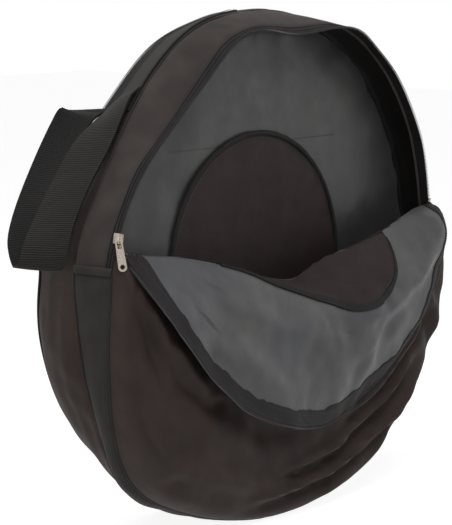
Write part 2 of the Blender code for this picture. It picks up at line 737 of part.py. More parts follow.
def main():
    clear_scene()
    shell = material("brown_black_polyester", srgb("332d2b"), 0.62)
    band = material("dark_grey_polyester", srgb("2e2d2b"), 0.66)
    lining = material("grey_coated_lining", srgb("585654"), 0.48)
    shaded = material("dark_grey_lining", srgb("454443"), 0.55)
    patch = material("brown_hub_patch_cloth", srgb("2c2523"), 0.58)
    binding = material("black_grosgrain_binding", srgb("2b2a2c"), 0.60)
    tape = material("black_zip_tape", srgb("2b2a2c"), 0.58)
    coil = material("black_nylon_coil", srgb("242326"), 0.35)
    piping = material("black_piping", srgb("201e1d"), 0.55)
    webbing = material("black_ribbed_webbing", srgb("2b2a28"), 0.70)
    thread = material("black_bartack_thread", srgb("1f1e1d"), 0.60)
    metal = material("nickel_plated_zinc", srgb("cfc4b4"), 0.30, 1.0)

    make_bands(shell, band, piping)
    make_divider(shaded, patch, binding)
    make_lower_panels(shell, patch, binding)
    make_bag_zips(tape, coil, metal)
    make_front_flap(lining, patch, binding, tape, coil)
    make_rear_flap(shell, patch, binding, tape, coil)
    make_pulls(metal)
    make_webbing(webbing, thread)


main()
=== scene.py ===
"""Looks of a round soft wheel bag, its front panel unzipped and folded down.

The bag stands on the floor, its open front towards -Y, +Z up, in metres. Angles round
the bag are in degrees from the top, growing towards +X. Tables of the bag's outline are
in millimetres.
"""

import math

import bmesh
import bpy
import numpy as np
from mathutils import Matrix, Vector, noise


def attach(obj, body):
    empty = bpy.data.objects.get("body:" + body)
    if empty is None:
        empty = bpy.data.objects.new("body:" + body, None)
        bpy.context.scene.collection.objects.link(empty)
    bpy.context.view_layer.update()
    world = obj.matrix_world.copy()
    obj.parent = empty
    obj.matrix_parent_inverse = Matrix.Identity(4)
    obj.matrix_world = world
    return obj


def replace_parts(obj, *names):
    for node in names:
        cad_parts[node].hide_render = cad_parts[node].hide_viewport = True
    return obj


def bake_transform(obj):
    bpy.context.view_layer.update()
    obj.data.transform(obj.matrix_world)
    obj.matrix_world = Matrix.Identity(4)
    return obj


bl_info = {
    "name": "Wheel Bag",
    "version": (1, 0, 0),
    "blender": (4, 5, 0),
    "location": "3D View > Sidebar > Wheel Bag",
    "description": "Builds a soft two-compartment wheel bag and its studio",
    "category": "Object",
}

MM = 0.001
AXIS_Z = 0.2975
MIDDLE_Y = -0.009
FRONT_Y = -0.062
REAR_Y = 0.065
END_DEG = 80.0
SEAM_DEG = 85.5
FLOOR_GAP = 0.0006

# Radius of the bag's seams round the middle, by angle
MIDDLE_SEAM = (
    (-180, 297.5), (-165, 300), (-150, 312), (-140, 325), (-133, 326), (-127, 317),
    (-120, 307), (-110, 302), (-97, 298.5), (-86, 303), (-80, 301), (-73, 291), (-66, 284),
    (-60, 280), (-53, 281), (-46, 283), (-38, 287), (-31, 291), (-24, 295), (-17, 297),
    (-5, 294.5), (3, 296), (12, 298), (30, 301), (60, 300), (90, 300), (120, 302),
    (150, 300), (165, 299),
)
FRONT_EDGE = (
    (-180, 296), (-165, 300), (-150, 310), (-140, 321), (-133, 323), (-128, 318),
    (-120, 309), (-111, 302), (-100, 300), (-91, 297), (-86, 298), (-80, 294), (-77, 291),
    (-70, 286), (-65, 281), (-60, 275), (-57, 272), (-52, 266), (-47, 262), (-42, 261),
    (-37, 261), (-32, 263), (-26, 269), (-21, 276), (-17, 280), (-10, 280), (-5, 274),
    (0, 268), (5, 267.5), (12, 275), (18, 287), (24, 298), (28, 303), (35, 299), (45, 300),
    (56, 297), (65, 296.5), (73, 291), (80, 288), (86, 290), (95, 296), (104, 300),
    (120, 303), (135, 303), (150, 300), (165, 296),
)
STRIP_EDGE = (
    (-90, 297), (-80, 292.5), (-76, 288), (-69, 281), (-61, 276), (-58, 270), (-54, 265),
    (-50, 261), (-45, 258.5), (-39, 259), (-34, 262), (-28, 268), (-23, 276), (-20, 280.5),
    (-11, 282), (-5, 280), (4, 275), (12, 282), (19, 293), (24, 300), (30, 301), (45, 300),
    (60, 297), (73, 291), (80, 288), (90, 292),
)
REAR_SEAM = (
    (-180, 297), (-165, 297), (-155, 292), (-148, 287), (-141, 278), (-134, 282),
    (-120, 286), (-100, 285), (-92, 280), (-86, 274), (-81, 286), (-78, 284), (-70, 264),
    (-60, 255), (-45, 254), (-36, 256), (-28, 263), (-20, 271), (-11, 276), (-4, 280),
    (3, 288), (11, 296), (30, 299), (90, 299), (135, 299), (165, 297),
)
REAR_PUFF = (
    (-180, 0), (-150, 0), (-137, 1), (-128, 4), (-120, 8), (-110, 12), (-98, 13), (-92, 8),
    (-84, 2), (-75, 1), (0, 1), (60, 3), (90, 7), (120, 8), (150, 3), (165, 0),
)
FRONT_SEAM_Y = (
    (-180, -55), (-165, -50), (-150, -42), (-140, -33), (-133, -30), (-126, -30),
    (-120, -35), (-111, -44), (-100, -56), (-91, -61), (-80, -62), (0, -62), (104, -62),
    (135, -61), (165, -58),
)

# Front flap: x, then forward distance and height above the bag's axis of the fold, the
# crease, the belly and the hem
FLAP_SECTIONS = (
    (-282, (1, 46), (3, 43), (5, 38), (8, 32)),
    (-275, (2, 45), (5, 40), (11, 30), (17, 19)),
    (-265, (3, 42), (7, 36), (18, 18), (29, 1)),
    (-250, (4, 39), (9, 31), (28, 2), (43, -27)),
    (-200, (6, 33), (12, 26), (38, -28), (58, -95)),
    (-150, (10, 21), (18, 14), (46, -55), (64, -140)),
    (-100, (12, 8), (29, -4), (53, -75), (66, -163)),
    (-50, (11, -8), (33, -24), (56, -92), (62, -178)),
    (0, (10, -18), (44, -42), (58, -108), (50, -186)),
    (50, (20, 3), (55, -62), (62, -112), (47, -179)),
    (100, (27, 12), (58, -40), (61, -85), (40, -165)),
    (150, (25, 22), (58, -24), (60, -68), (38, -143)),
    (200, (15, 33), (52, -4), (57, -40), (38, -104)),
    (250, (5, 44), (40, 30), (50, 10), (44, -33)),
    (270, (3, 46), (26, 40), (38, 26), (36, 5)),
    (284, (1, 47), (8, 46), (14, 44), (18, 40)),
)
HEM_R = 289.5

# Radius of the hub patches, and the widths of what edges them
DIVIDER_PATCH_R = 0.155
PATCH_R = 0.162
BINDING_W = 0.006
TAPE_W = 0.0215

# Handle loop: where it leaves the bag, its size, and places along its front and rear edges
LOOP_START = np.array((-0.200752, -0.0067, 0.491364))
LOOP_SIZE = np.array((0.143, 0.100, 0.160))
LOOP_SHARES = (
    ((0.25, 0, 0.24), (0.3, 0.485, 0.25)),
    ((0.5, 0, 0.52), (0.57, 0.482, 0.53)),
    ((0.67, 0, 0.763), (0.78, 0.465, 0.762)),
    ((0.74, 0, 0.928), (0.93, 0.415, 0.915)),
    ((0.743, 0.037, 1.017), (0.96, 0.427, 1.004)),
    ((0.746, 0.117, 1.059), (0.953, 0.522, 1.042)),
    ((0.733, 0.207, 1.03), (0.921, 0.627, 0.996)),
    ((0.715, 0.317, 0.909), (0.841, 0.782, 0.91)),
    ((0.677, 0.432, 0.79), (0.726, 0.902, 0.795)),
    ((0.58, 0.507, 0.615), (0.568, 0.987, 0.618)),
    ((0.35, 0.532, 0.355), (0.375, 1.007, 0.359)),
    ((0.12, 0.537, 0.143), (0.21, 0.997, 0.14)),
    ((-0.02, 0.522, 0.058), (0.125, 0.96, 0.03)),
    ((-0.08, 0.515, 0.085), (0.055, 0.885, 0.045)),
)

# Depth of the edges of the zip strips and of the bag's zip tapes
FRONT_STRIP_Y = -0.050
REAR_STRIP_Y = 0.053
FRONT_TAPE_Y = (-0.0485, -0.0612)
REAR_TAPE_Y = 0.0515

# Height of the seam across the divider
DIVIDER_SEAM_Z = AXIS_Z + 0.140

# Puff of the front side bands by angle, their stitch lines, and the cords in the seams
FRONT_PUFF = ((-180, 0), (-120, 4), (-60, 3), (0, 2), (60, 3), (120, 3))
STITCH_INSETS = (0.0040, 0.0075)
STRIP_STITCH_INSET = 0.003
STITCH_LIFT = 0.0003
MIDDLE_CORD_R = 0.0016
PIPING_R = 0.0019

# How far the cloth is drawn in at a seam: depth, then reach
MIDDLE_TUCK = (0.0022, 0.0028)
OUTER_TUCK = (0.0014, 0.0022)

# Thickness of each cloth
SHELL_T = 0.0030
FLAP_T = 0.0018
HEM_T = 0.0012
PAD_T = 0.0050
PATCH_T = 0.0011
ROUND_PATCH_T = 0.0012
TAPE_T = 0.0010
FLAP_TAPE_T = 0.0011
WEBBING_T = 0.0022
LOOP_T = 0.0023
FLAP_BINDING_T = 0.0018
ROUND_BINDING_T = 0.0014
INNER_BINDING_T = 0.0012

# Unevenness of each cloth: height, size of the blobs, and seed
STRIP_SEEDS = (1, 3)
REAR_BAND_SEED = 4
PANEL_UNEVEN = ((0.0030, 0.075, 11), (0.0012, 0.030, 12))
FLAP_UNEVEN = ((0.0028, 0.060, 21), (0.0011, 0.022, 22))
TAPE_EDGE_UNEVEN = ((0.0024, 0.007, 31), (0.0022, 0.022, 32))
DIVIDER_UNEVEN = ((0.0022, 0.085, 41), (0.0008, 0.030, 42))
REAR_UNEVEN = ((0.0035, 0.100, 61), (0.0012, 0.035, 62))

# Sharp-edged creases: size, height, and seed
PANEL_CRUMPLES = ((0.070, 0.0022, 13), (0.026, 0.0008, 14))
FLAP_CRUMPLE = (0.075, 0.0022, 23)

# Swell of the lower front panel beside its round seam
PANEL_SWELL = (
    (-180, 3), (-150, 5), (-130, 8), (-105, 5), (-85, 1), (85, 2), (110, 8), (130, 9),
    (150, 5), (165, 3),
)

# Soft folds: a path of x and height above the axis in millimetres, then width and height
PANEL_FOLDS = (
    ([(-110, -268), (54, -252), (184, -206), (262, -140)], 0.0075, 0.0140),
    ([(-60, -240), (60, -222), (160, -180), (245, -118)], 0.0075, 0.0115),
    ([(60, -195), (140, -165), (215, -112), (255, -70)], 0.0080, 0.0095),
    ([(20, -288), (120, -272), (205, -228)], 0.0070, 0.0095),
    ([(-264, -180), (-156, -224), (-22, -262)], 0.0110, 0.0055),
    ([(-240, -50), (-205, -90), (-161, -122)], 0.0085, 0.0075),
    ([(-263, -5), (-241, -58), (-222, -111)], 0.0080, 0.0055),
    ([(-300, -40), (-272, -91), (-207, -151)], 0.0140, 0.0045),
    ([(-300, -107), (-276, -156), (-224, -199)], 0.0120, 0.0050),
    ([(-150, -130), (-77, -180), (34, -200)], 0.0180, -0.0065),
    ([(225, -40), (268, -80), (290, -130)], 0.0110, 0.0060),
)
FLAP_FOLDS = (
    ([(60, -60), (120, -62), (190, -30), (245, 15)], 0.011, 0.0035),
    ([(120, -150), (175, -105), (215, -60), (245, -20)], 0.012, 0.0040),
    ([(-130, -20), (-60, -60), (10, -70)], 0.020, 0.0030),
    ([(60, -165), (90, -120), (100, -75)], 0.013, 0.0030),
    ([(-160, -60), (-110, -110), (-60, -150)], 0.018, 0.0025),
    ([(20, -175), (35, -130), (20, -90)], 0.016, 0.0025),
)
REAR_FOLDS = (
    ([(-230, -120), (-120, -190), (0, -225)], 0.016, 0.004),
    ([(230, -110), (130, -185), (30, -215)], 0.016, 0.004),
    ([(-200, 120), (-120, 60), (-60, 40)], 0.014, 0.003),
    ([(180, 150), (120, 80), (70, 50)], 0.014, 0.003),
)

# Lower edge of the flap's patch: x, and its share of the way from the fold to the hem
PATCH_EDGE = (
    (-140, 0.09), (-120, 0.10), (-80, 0.13), (-40, 0.17), (0, 0.235), (30, 0.33), (55, 0.425),
    (75, 0.46), (100, 0.48), (130, 0.44), (148, 0.34), (157, 0.22), (160, 0.12),
)

# Webbing: its width, the places of the loop's ends, and the photograph's camera
WEBBING_W = 0.050
WEBBING_Y = MIDDLE_Y + 0.0030
LOOP_ROOT = ((-41.5, 0.0020), (-43.0, 0.0040), (-45.5, 0.0062))
LOOP_END_DEG = -42.5
LOOP_END_Y = (0.030, 0.062)
CAMERA_TURN_DEG = 49.69
CAMERA_TILT_DEG = 8.31
CAMERA_DISTANCE = 2.6
FOCAL_PX = 2301.0
PHOTO_PX = 525.0
SENSOR_MM = 36.0


# Small maths


def smoothstep(low, high, value):
    share = np.clip((np.asarray(value, float) - low) / (high - low), 0.0, 1.0)
    return share * share * (3.0 - 2.0 * share)


def softened(values, reach, spread):
    """Values smoothed by a bell curve; this many at each end are only its margin."""
    kernel = np.exp(-0.5 * (np.arange(-reach, reach + 1) / spread) ** 2)
    return np.convolve(values, kernel / kernel.sum(), "valid")


def ring(rows, spread=3.0, reach=12):
    """A softened closed table by angle, given in millimetres and returned in metres."""
    places = np.arange(-180, 180)
    angles, values = np.array(rows, float).T
    dense = np.interp(places, angles, values, period=360)
    soft = softened(np.concatenate([dense[-reach:], dense, dense[:reach]]), reach, spread) * MM
    return lambda degrees: np.interp(degrees, places, soft, period=360)


def line(rows, spread, reach=40):
    """A softened open table by place along x, given and returned in millimetres."""
    places, values = np.array(rows, float).T
    dense_x = np.arange(places[0], places[-1] + 1.0)
    dense = np.interp(dense_x, places, values)
    first = 2 * dense[0] - dense[reach:0:-1]
    last = 2 * dense[-1] - dense[-2 : -reach - 2 : -1]
    soft = softened(np.concatenate([first, dense, last]), reach, spread)
    return lambda x: np.interp(x, dense_x, soft)


def noise_at(points, size, seed):
    """Smooth noise between -1 and 1 at each point, with blobs of this size."""
    flat = np.asarray(points, float).reshape(-1, 3)
    shift = Vector((seed * 7.13, seed * 3.71, seed * 5.29))
    values = [noise.noise(Vector(p) / size + shift) for p in flat]
    return np.array(values).reshape(np.asarray(points).shape[:-1])


def uneven(points, *layers):
    """Smooth unevenness in layers of (height, size of the blobs, seed)."""
    return sum(height * noise_at(points, size, seed) for height, size, seed in layers)


def crumple(points, size, height, seed):
    """Sharp-edged creases of cloth that has been folded: valleys where the noise is zero."""
    return height * (np.minimum(np.abs(noise_at(points, size, seed)) * 2.2, 1.0) - 0.6)


def catmull(points, count):
    """A smooth curve of count points through these points, evenly spread by length."""
    points = np.asarray(points, float)
    ends = [2 * points[0] - points[1], *points, 2 * points[-1] - points[-2]]
    fine = []
    for p0, p1, p2, p3 in zip(ends, ends[1:], ends[2:], ends[3:]):
        for t in np.linspace(0, 1, 12, endpoint=False):
            fine.append(
                0.5 * (2 * p1 + (p2 - p0) * t + (2 * p0 - 5 * p1 + 4 * p2 - p3) * t**2
                       + (3 * p1 - p0 - 3 * p2 + p3) * t**3)
            )
    return resampled(np.array([*fine, points[-1]]), count)


def distances(path):
    """How far along a path each of its points lies."""
    steps = np.linalg.norm(np.diff(path, axis=0), axis=-1)
    return np.concatenate([[0.0], np.cumsum(steps)])


def resampled(path, count):
    along = distances(path)
    places = np.linspace(0.0, along[-1], count)
    return np.stack([np.interp(places, along, path[:, k]) for k in range(path.shape[1])], 1)


def unit(vectors):
    return vectors / np.maximum(np.linalg.norm(vectors, axis=-1, keepdims=True), 1e-12)


def ridge(points, path, width, height):
    """A soft fold along a path of (x, z) millimetres: a crest with a hollow beside it."""
    xz = points[..., (0, 2)]
    path = np.array(path, float) * MM + np.array([0.0, AXIS_Z])
    near = np.full(xz.shape[:-1], 1e9)
    side = np.zeros(xz.shape[:-1])
    for start, end in zip(path, path[1:]):
        run = end - start
        share = np.clip(((xz - start) @ run) / (run @ run), 0.0, 1.0)
        gap = xz - (start + share[..., None] * run)
        distance = np.linalg.norm(gap, axis=-1)
        closer = distance < near
        near = np.where(closer, distance, near)
        cross = run[0] * gap[..., 1] - run[1] * gap[..., 0]
        side = np.where(closer, np.sign(cross) * distance, side)
    fading = distances(path)[-1] * 0.25
    fade = 1.0
    for end in (path[0], path[-1]):
        fade = fade * smoothstep(0.0, fading, np.linalg.norm(xz - end, axis=-1))
    crest = np.exp(-((side / width) ** 2))
    hollow = np.exp(-(((side + 1.6 * width) / (1.1 * width)) ** 2))
    return height * fade * (crest - 0.8 * hollow)


middle_r = ring(MIDDLE_SEAM)
front_r = ring(FRONT_EDGE, 2.2)
strip_r = ring(STRIP_EDGE, 2.2)
rear_r = ring(REAR_SEAM)
rear_puff = ring(REAR_PUFF, 4.0)
front_puff = ring(FRONT_PUFF, 8.0)
seam_y = ring(FRONT_SEAM_Y, 4.0)

# Forward distance and height of the flap's fold, crease, belly and hem, by x, in millimetres
FLAP_LINES = [
    [line([(row[0], row[part][k]) for row in FLAP_SECTIONS], 9.0) for k in (0, 1)]
    for part in range(1, 5)
]


def outward(degrees):
    """Directions straight out from the bag's axis."""
    turn = np.radians(degrees)
    return np.stack([np.sin(turn), np.zeros_like(turn), np.cos(turn)], -1)


def on_ring(radius, degrees, y):
    """Points on the bag's round side, pressed flat where it stands."""
    turn = np.radians(degrees)
    x, z = radius * np.sin(turn), AXIS_Z + radius * np.cos(turn)
    z = np.maximum(z, FLOOR_GAP)
    return np.stack(np.broadcast_arrays(x, y, z), -1)


def ring_places(start, end, step=1.0):
    return np.linspace(start, end, int(abs(end - start) / step) + 1)


# Meshes


def normals_of(grid, wrap=False):
    if wrap:
        along = np.roll(grid, -1, axis=1) - np.roll(grid, 1, axis=1)
    else:
        along = np.gradient(grid, axis=1)
    return unit(np.cross(along, np.gradient(grid, axis=0)))


def new_object(bm, name, finishes, body, smooth_angle=50.0):
    """Turns the mesh into an object that rides a body, with a material slot for each finish."""
    mesh = bpy.data.meshes.new(name)
    bm.to_mesh(mesh)
    bm.free()
    mesh.shade_smooth()
    mesh.set_sharp_from_angle(angle=math.radians(smooth_angle))
    for finish in finishes:
        mesh.materials.append(FINISHES[finish])
    obj = bpy.data.objects.new(name, mesh)
    bpy.context.scene.collection.objects.link(obj)
    if body:
        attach(obj, body)
    return obj


def cloth(name, grid, thickness, finishes, body, side=1, wrap=False):
    """Cloth of some thickness from a grid of points on its outer face.

    The first finish is on the outer face and the edges, the last on the inner face.
    """
    grid = np.asarray(grid, float)
    tall, wide = grid.shape[:2]
    inner = grid - normals_of(grid, wrap) * thickness * side
    u = distances(grid[tall // 2])
    u = np.append(u, u[-1] * wide / (wide - 1))
    v = distances(grid[:, wide // 2])
    bm = bmesh.new()
    uv = bm.loops.layers.uv.new("cloth")
    layers = [[[bm.verts.new(p) for p in row] for row in layer] for layer in (grid, inner)]

    def face(corners, index, flip=False):
        made = bm.faces.new([layers[l][i][j % wide] for l, i, j in corners])
        made.material_index = index
        for loop, (_, i, j) in zip(made.loops, corners):
            loop[uv].uv = (u[j], v[i])
        if flip:
            made.normal_flip()

    last = len(finishes) - 1
    columns = wide if wrap else wide - 1
    for i in range(tall - 1):
        for j in range(columns):
            quad = ((i, j), (i, j + 1), (i + 1, j + 1), (i + 1, j))
            face([(0, a, b) for a, b in quad], 0, side < 0)
            face([(1, a, b) for a, b in quad], last, side > 0)
    end = tall - 1
    for j in range(columns):
        face(((0, 0, j), (1, 0, j), (1, 0, j + 1), (0, 0, j + 1)), 0)
        face(((0, end, j + 1), (1, end, j + 1), (1, end, j), (0, end, j)), 0)
    if not wrap:
        end = wide - 1
        for i in range(tall - 1):
            face(((0, i + 1, 0), (1, i + 1, 0), (1, i, 0), (0, i, 0)), 0)
            face(((0, i, end), (1, i, end), (1, i + 1, end), (0, i + 1, end)), 0)
    bmesh.ops.recalc_face_normals(bm, faces=bm.faces)
    return new_object(bm, name, finishes, body)


def cord(name, path, radius, finish, body, sides=8, wrap=False):
    """A round cord along a path."""
    path = np.array(path, float)
    path[:, 2] = np.maximum(path[:, 2], radius + FLOOR_GAP)
    if wrap:
        along = unit(np.roll(path, -1, 0) - np.roll(path, 1, 0))
    else:
        along = unit(np.gradient(path, axis=0))
    up = unit(np.cross(along, np.array([0.31, 0.83, 0.46])))
    over = np.cross(along, up)
    bm = bmesh.new()
    rings = []
    for centre, u, v in zip(path, up, over):
        turn = [2 * math.pi * s / sides for s in range(sides)]
        rim = [centre + radius * (math.cos(t) * u + math.sin(t) * v) for t in turn]
        rings.append([bm.verts.new(p) for p in rim])
    pairs = list(zip(rings, rings[1:])) + ([(rings[-1], rings[0])] if wrap else [])
    for first, second in pairs:
        for s in range(sides):
            n = (s + 1) % sides
            bm.faces.new((first[s], first[n], second[n], second[s]))
    if not wrap:
        bm.faces.new(rings[0])
        bm.faces.new(rings[-1][::-1])
    bmesh.ops.recalc_face_normals(bm, faces=bm.faces)
    return new_object(bm, name, [finish], body)


def stitches(name, runs, body, pitch=0.0036, length=0.0025, thick=0.0005):
    """Rows of short raised stitches. Each run is a path and the cloth's outward normals."""
    bm = bmesh.new()
    for path, out in runs:
        path = np.asarray(path, float)
        places = distances(path)
        both = np.concatenate([path, np.broadcast_to(np.asarray(out, float), path.shape)], 1)
        for start in np.arange(pitch / 2, places[-1] - length, pitch):
            ends = [start, start + length / 2, start + length]
            low, middle, high = (
                np.array([np.interp(e, places, both[:, k]) for k in range(6)]) for e in ends
            )
            normal = unit(middle[3:])
            over = np.cross(normal, unit(high[:3] - low[:3])) * thick
            crest = middle[:3] + normal * thick
            verts = [low[:3], crest, middle[:3] + over, middle[:3] - over, high[:3]]
            a, b, c, d, e = (bm.verts.new(p) for p in verts)
            for trio in ((a, b, c), (a, d, b), (b, e, c), (b, d, e), (a, c, d), (c, e, d)):
                bm.faces.new(trio)
    bmesh.ops.recalc_face_normals(bm, faces=bm.faces)
    return new_object(bm, name, ["thread"], body)


def coil(name, path, facing, body, radius=0.0013, pitch=0.0018, wire=0.00042):
    """A zip's nylon coil: one wire wound round the path."""
    path = np.asarray(path, float)
    steps = 8
    count = int(distances(path)[-1] / pitch) * steps + 1
    fine = resampled(np.concatenate([path, np.broadcast_to(facing, path.shape)], 1), count)
    centre, out = fine[:, :3], unit(fine[:, 3:])
    along = unit(np.gradient(centre, axis=0))
    over = unit(np.cross(along, out))
    out = np.cross(over, along)
    turn = (np.arange(count) * (2 * np.pi / steps))[:, None]
    wound = centre + radius * (np.cos(turn) * over + 0.8 * np.sin(turn) * out)
    return cord(name, wound, wire, "coil", body, sides=4)


# Materials


def hex_color(code):
    """A six-digit sRGB colour code as linear RGBA."""
    parts = [int(code[k : k + 2], 16) / 255 for k in (0, 2, 4)]
    linear = [p / 12.92 if p <= 0.04045 else ((p + 0.055) / 1.055) ** 2.4 for p in parts]
    return (*linear, 1.0)


def add(tree, kind, inputs=(), output=0, **settings):
    """Adds a node and returns one of its outputs.

    An input is linked, or set where it is a plain value or a colour code.
    """
    made = tree.nodes.new(f"ShaderNode{kind}")
    for key, value in settings.items():
        setattr(made, key, value)
    for key, value in dict(inputs).items():
        if isinstance(value, bpy.types.NodeSocket):
            tree.links.new(value, made.inputs[key])
        else:
            made.inputs[key].default_value = hex_color(value) if isinstance(value, str) else value
    return made.outputs[output]


def base_material(name, roughness, **values):
    made = bpy.data.materials.new(name)
    made.use_nodes = True
    tree = made.node_tree
    shader = tree.nodes["Principled BSDF"]
    shader.inputs["Roughness"].default_value = roughness
    for key, value in values.items():
        shader.inputs[key.replace("_", " ")].default_value = value
    return made, tree, shader


def colored(tree, shader, value, low, high, dark, light):
    """Gives the surface two colours, by a value between low and high."""
    shade = add(tree, "MapRange", {"Value": value, "From Min": low, "From Max": high})
    color = add(tree, "Mix", {"Factor": shade, 6: dark, 7: light}, 2, data_type="RGBA")
    tree.links.new(color, shader.inputs["Base Color"])
    return color


def bumped(tree, shader, *layers):
    """Raises the surface by each (height, distance) layer, one on top of the other."""
    below = {}
    for height, distance in layers:
        inputs = {"Height": height, "Strength": 1.0, "Distance": distance, **below}
        below = {"Normal": add(tree, "Bump", inputs)}
    tree.links.new(below["Normal"], shader.inputs["Normal"])


def creases(tree, where, size):
    """Height of soft creases: ridged noise with blobs of this size."""
    bent = add(tree, "TexNoise", {"Vector": where, "Scale": 0.7 / size, "Detail": 2.0}, "Color")
    moved = add(
        tree, "VectorMath", {0: bent, 1: (size * 1.2,) * 3, 2: where}, operation="MULTIPLY_ADD"
    )
    inputs = {"Vector": moved, "Scale": 1 / size, "Detail": 2.5, "Roughness": 0.55}
    return add(tree, "TexNoise", inputs, noise_type="RIDGED_MULTIFRACTAL", normalize=True)


def threads(tree, direction, pitch_mm, distortion, fineness=1.0):
    """Height of parallel threads or ribs along the cloth's own map."""
    inputs = {
        "Vector": add(tree, "UVMap", uv_map="cloth"), "Scale": math.pi / (10 * pitch_mm * MM),
        "Distortion": distortion, "Detail": 1.0, "Detail Scale": fineness,
    }
    return add(tree, "TexWave", inputs, "Fac", bands_direction=direction)


def woven(name, light, dark, weave_mm=1.1, depth_mm=0.12, sheen=0.04, crease_mm=1.4):
    """Woven cloth: plain weave bump, faint slubs, and broad soft changes of shade."""
    made, tree, shader = base_material(
        name, 0.66, Specular_IOR_Level=0.22, Sheen_Weight=sheen, Sheen_Roughness=0.45,
        Sheen_Tint=hex_color("8a7a70"),
    )
    where = add(tree, "TexCoord", output="Object")
    broad = add(tree, "TexNoise", {"Vector": where, "Scale": 1 / 0.035, "Detail": 3.0})
    color = colored(tree, shader, broad, 0.3, 0.7, dark, light)
    # Real threads are about 0.5 mm apart, too fine to show, so they are drawn coarser
    warp, weft = (threads(tree, direction, weave_mm, 0.6, 0.6) for direction in ("X", "Y"))
    crossing = add(tree, "Math", {0: warp, 1: weft}, operation="MULTIPLY")
    colored(tree, shader, crossing, 0.0, 1.6, color, light)
    bumped(
        tree, shader, (creases(tree, where, 0.045), crease_mm * MM), (crossing, depth_mm * MM)
    )
    return made


def ribbed(name, light, dark, pitch_mm=2.4, depth_mm=0.9):
    """Heavy webbing with ribs across its width and a finer weave along them."""
    made, tree, shader = base_material(name, 0.72, Specular_IOR_Level=0.2, Sheen_Weight=0.03)
    ribs, warp = threads(tree, "Y", pitch_mm, 0.35), threads(tree, "X", 1.5, 0.8)
    height = add(tree, "Math", {0: warp, 1: 0.25, 2: ribs}, operation="MULTIPLY_ADD")
    # Painted light and shade: the ridges are coloured paler and the grooves darker
    colored(tree, shader, height, 0.15, 1.1, dark, light)
    bumped(tree, shader, (height, depth_mm * MM))
    return made


def coated(name, light, dark, cool):
    """Thin cloth with a dull coating: cloudy, faintly bluish in places, softly creased."""
    made, tree, shader = base_material(name, 0.5, Sheen_Weight=0.12)
    where = add(tree, "TexCoord", output="Object")
    inputs = {"Vector": where, "Scale": 14.0, "Detail": 4.0, "Roughness": 0.6}
    color = colored(tree, shader, add(tree, "TexNoise", inputs), 0.32, 0.68, dark, light)
    cooler, fine, creased = (
        add(tree, "TexNoise", {"Vector": where, "Scale": scale, "Detail": detail})
        for scale, detail in ((9.0, 2.0), (900.0, 2.0), (60.0, 5.0))
    )
    colored(tree, shader, cooler, 0.5, 0.75, color, cool)
    inputs = {"Value": creased, "From Min": 0.2, "From Max": 0.9, "To Min": 0.42, "To Max": 0.6}
    tree.links.new(add(tree, "MapRange", inputs), shader.inputs["Roughness"])
    height = add(tree, "Math", {0: fine, 1: 0.12, 2: creased}, operation="MULTIPLY_ADD")
    bumped(
        tree,
        shader,
        (creases(tree, where, 0.06), 1.8 * MM),
        (creases(tree, where, 0.014), 0.25 * MM),
        (height, 0.35 * MM),
    )
    return made


def cast_metal(name, light, dark):
    """Plated die-cast zinc: bright, slightly uneven, duller where it is handled."""
    made, tree, shader = base_material(name, 0.3, Metallic=1.0)
    where = add(tree, "TexCoord", output="Object")
    grain = add(tree, "TexNoise", {"Vector": where, "Scale": 900.0, "Detail": 3.0})
    colored(tree, shader, grain, 0.2, 0.6, dark, light)
    rough = add(tree, "MapRange", {"Value": grain, "To Min": 0.2, "To Max": 0.42})
    tree.links.new(rough, shader.inputs["Roughness"])
    bumped(tree, shader, (grain, 0.05 * MM))
    return made


def moulded(name, light, dark, roughness):
    """Nylon wire or twisted thread, faintly streaked."""
    made, tree, shader = base_material(name, roughness)
    where = add(tree, "TexCoord", output="Object")
    grain = add(tree, "TexNoise", {"Vector": where, "Scale": 600.0, "Detail": 2.0})
    colored(tree, shader, grain, 0.35, 0.65, dark, light)
    bumped(tree, shader, (grain, 0.06 * MM))
    return made


FINISHES = {}


def make_finishes():
    FINISHES.update(
        # Brown-black polyester outer cloth: matt and softly creased
        shell=woven("woven_polyester_brown_black", "40342f", "2b2220", crease_mm=2.0),
        # The same cloth on the zip strip, painted paler all over as painted light on the upper side
        strip=woven("woven_polyester_black_painted_light", "423a38", "2c2725", crease_mm=1.6),
        # The lower side band's cloth: darker and cooler
        band=woven("woven_polyester_dark_grey", "35312f", "252221"),
        # Inside face of the outer cloth: almost black
        inside=woven("woven_polyester_inside_black", "1c1918", "121010", sheen=0.03),
        # Grey coated lining of the flap: cloudy, with a dull gloss
        lining=coated("coated_lining_grey", "4d4c4b", "3b3b3c", "3e3f47"),
        # The same lining on the divider, darker by painted shade from inside the bag
        divider=coated("coated_lining_painted_shade_grey", "41403f", "2f2e2e", "36373b"),
        # Padded cloth of the hub patches: a coarser weave with deeper creases
        patch=woven(
            "padded_cloth_hub_patch", "35292a", "221a19", weave_mm=1.6, depth_mm=0.2, crease_mm=2.0
        ),
        # Grosgrain binding: close and dull
        binding=woven("grosgrain_binding_black", "1c1a1a", "100f0f", weave_mm=0.9, depth_mm=0.2),
        # Twill zip tape: near black, with hardly any creases to see
        tape=woven("zip_tape_black_twill", "242122", "121011", weave_mm=0.8, depth_mm=0.15),
        # Cloth-covered piping: a thin dark line along each seam
        piping=woven("piping_cloth_black", "262321", "1a1817", weave_mm=0.8),
        # Ribbed webbing: painted light on the ridges and painted shade in the grooves
        webbing=ribbed("webbing_ribbed_black", "3a3733", "0d0c0b"),
        # Painted shade: the same ribs, coloured almost black, for the face of the handle that hangs
        # in shadow
        webbing_back=ribbed("webbing_ribbed_painted_shade_black", "171514", "050505"),
        # Nylon coil: smooth, with a narrow gloss on each turn
        coil=moulded("nylon_coil_black", "302f33", "1d1c1f", 0.35),
        # Sewing thread: a shade paler than the cloth
        thread=moulded("thread_black", "3c3938", "2a2827", 0.6),
        # Nickel-plated zinc: warm grey, with blurred reflections
        metal=cast_metal("nickel_plated_zinc", "b9b0a2", "7d756b"),
    )


# Side bands


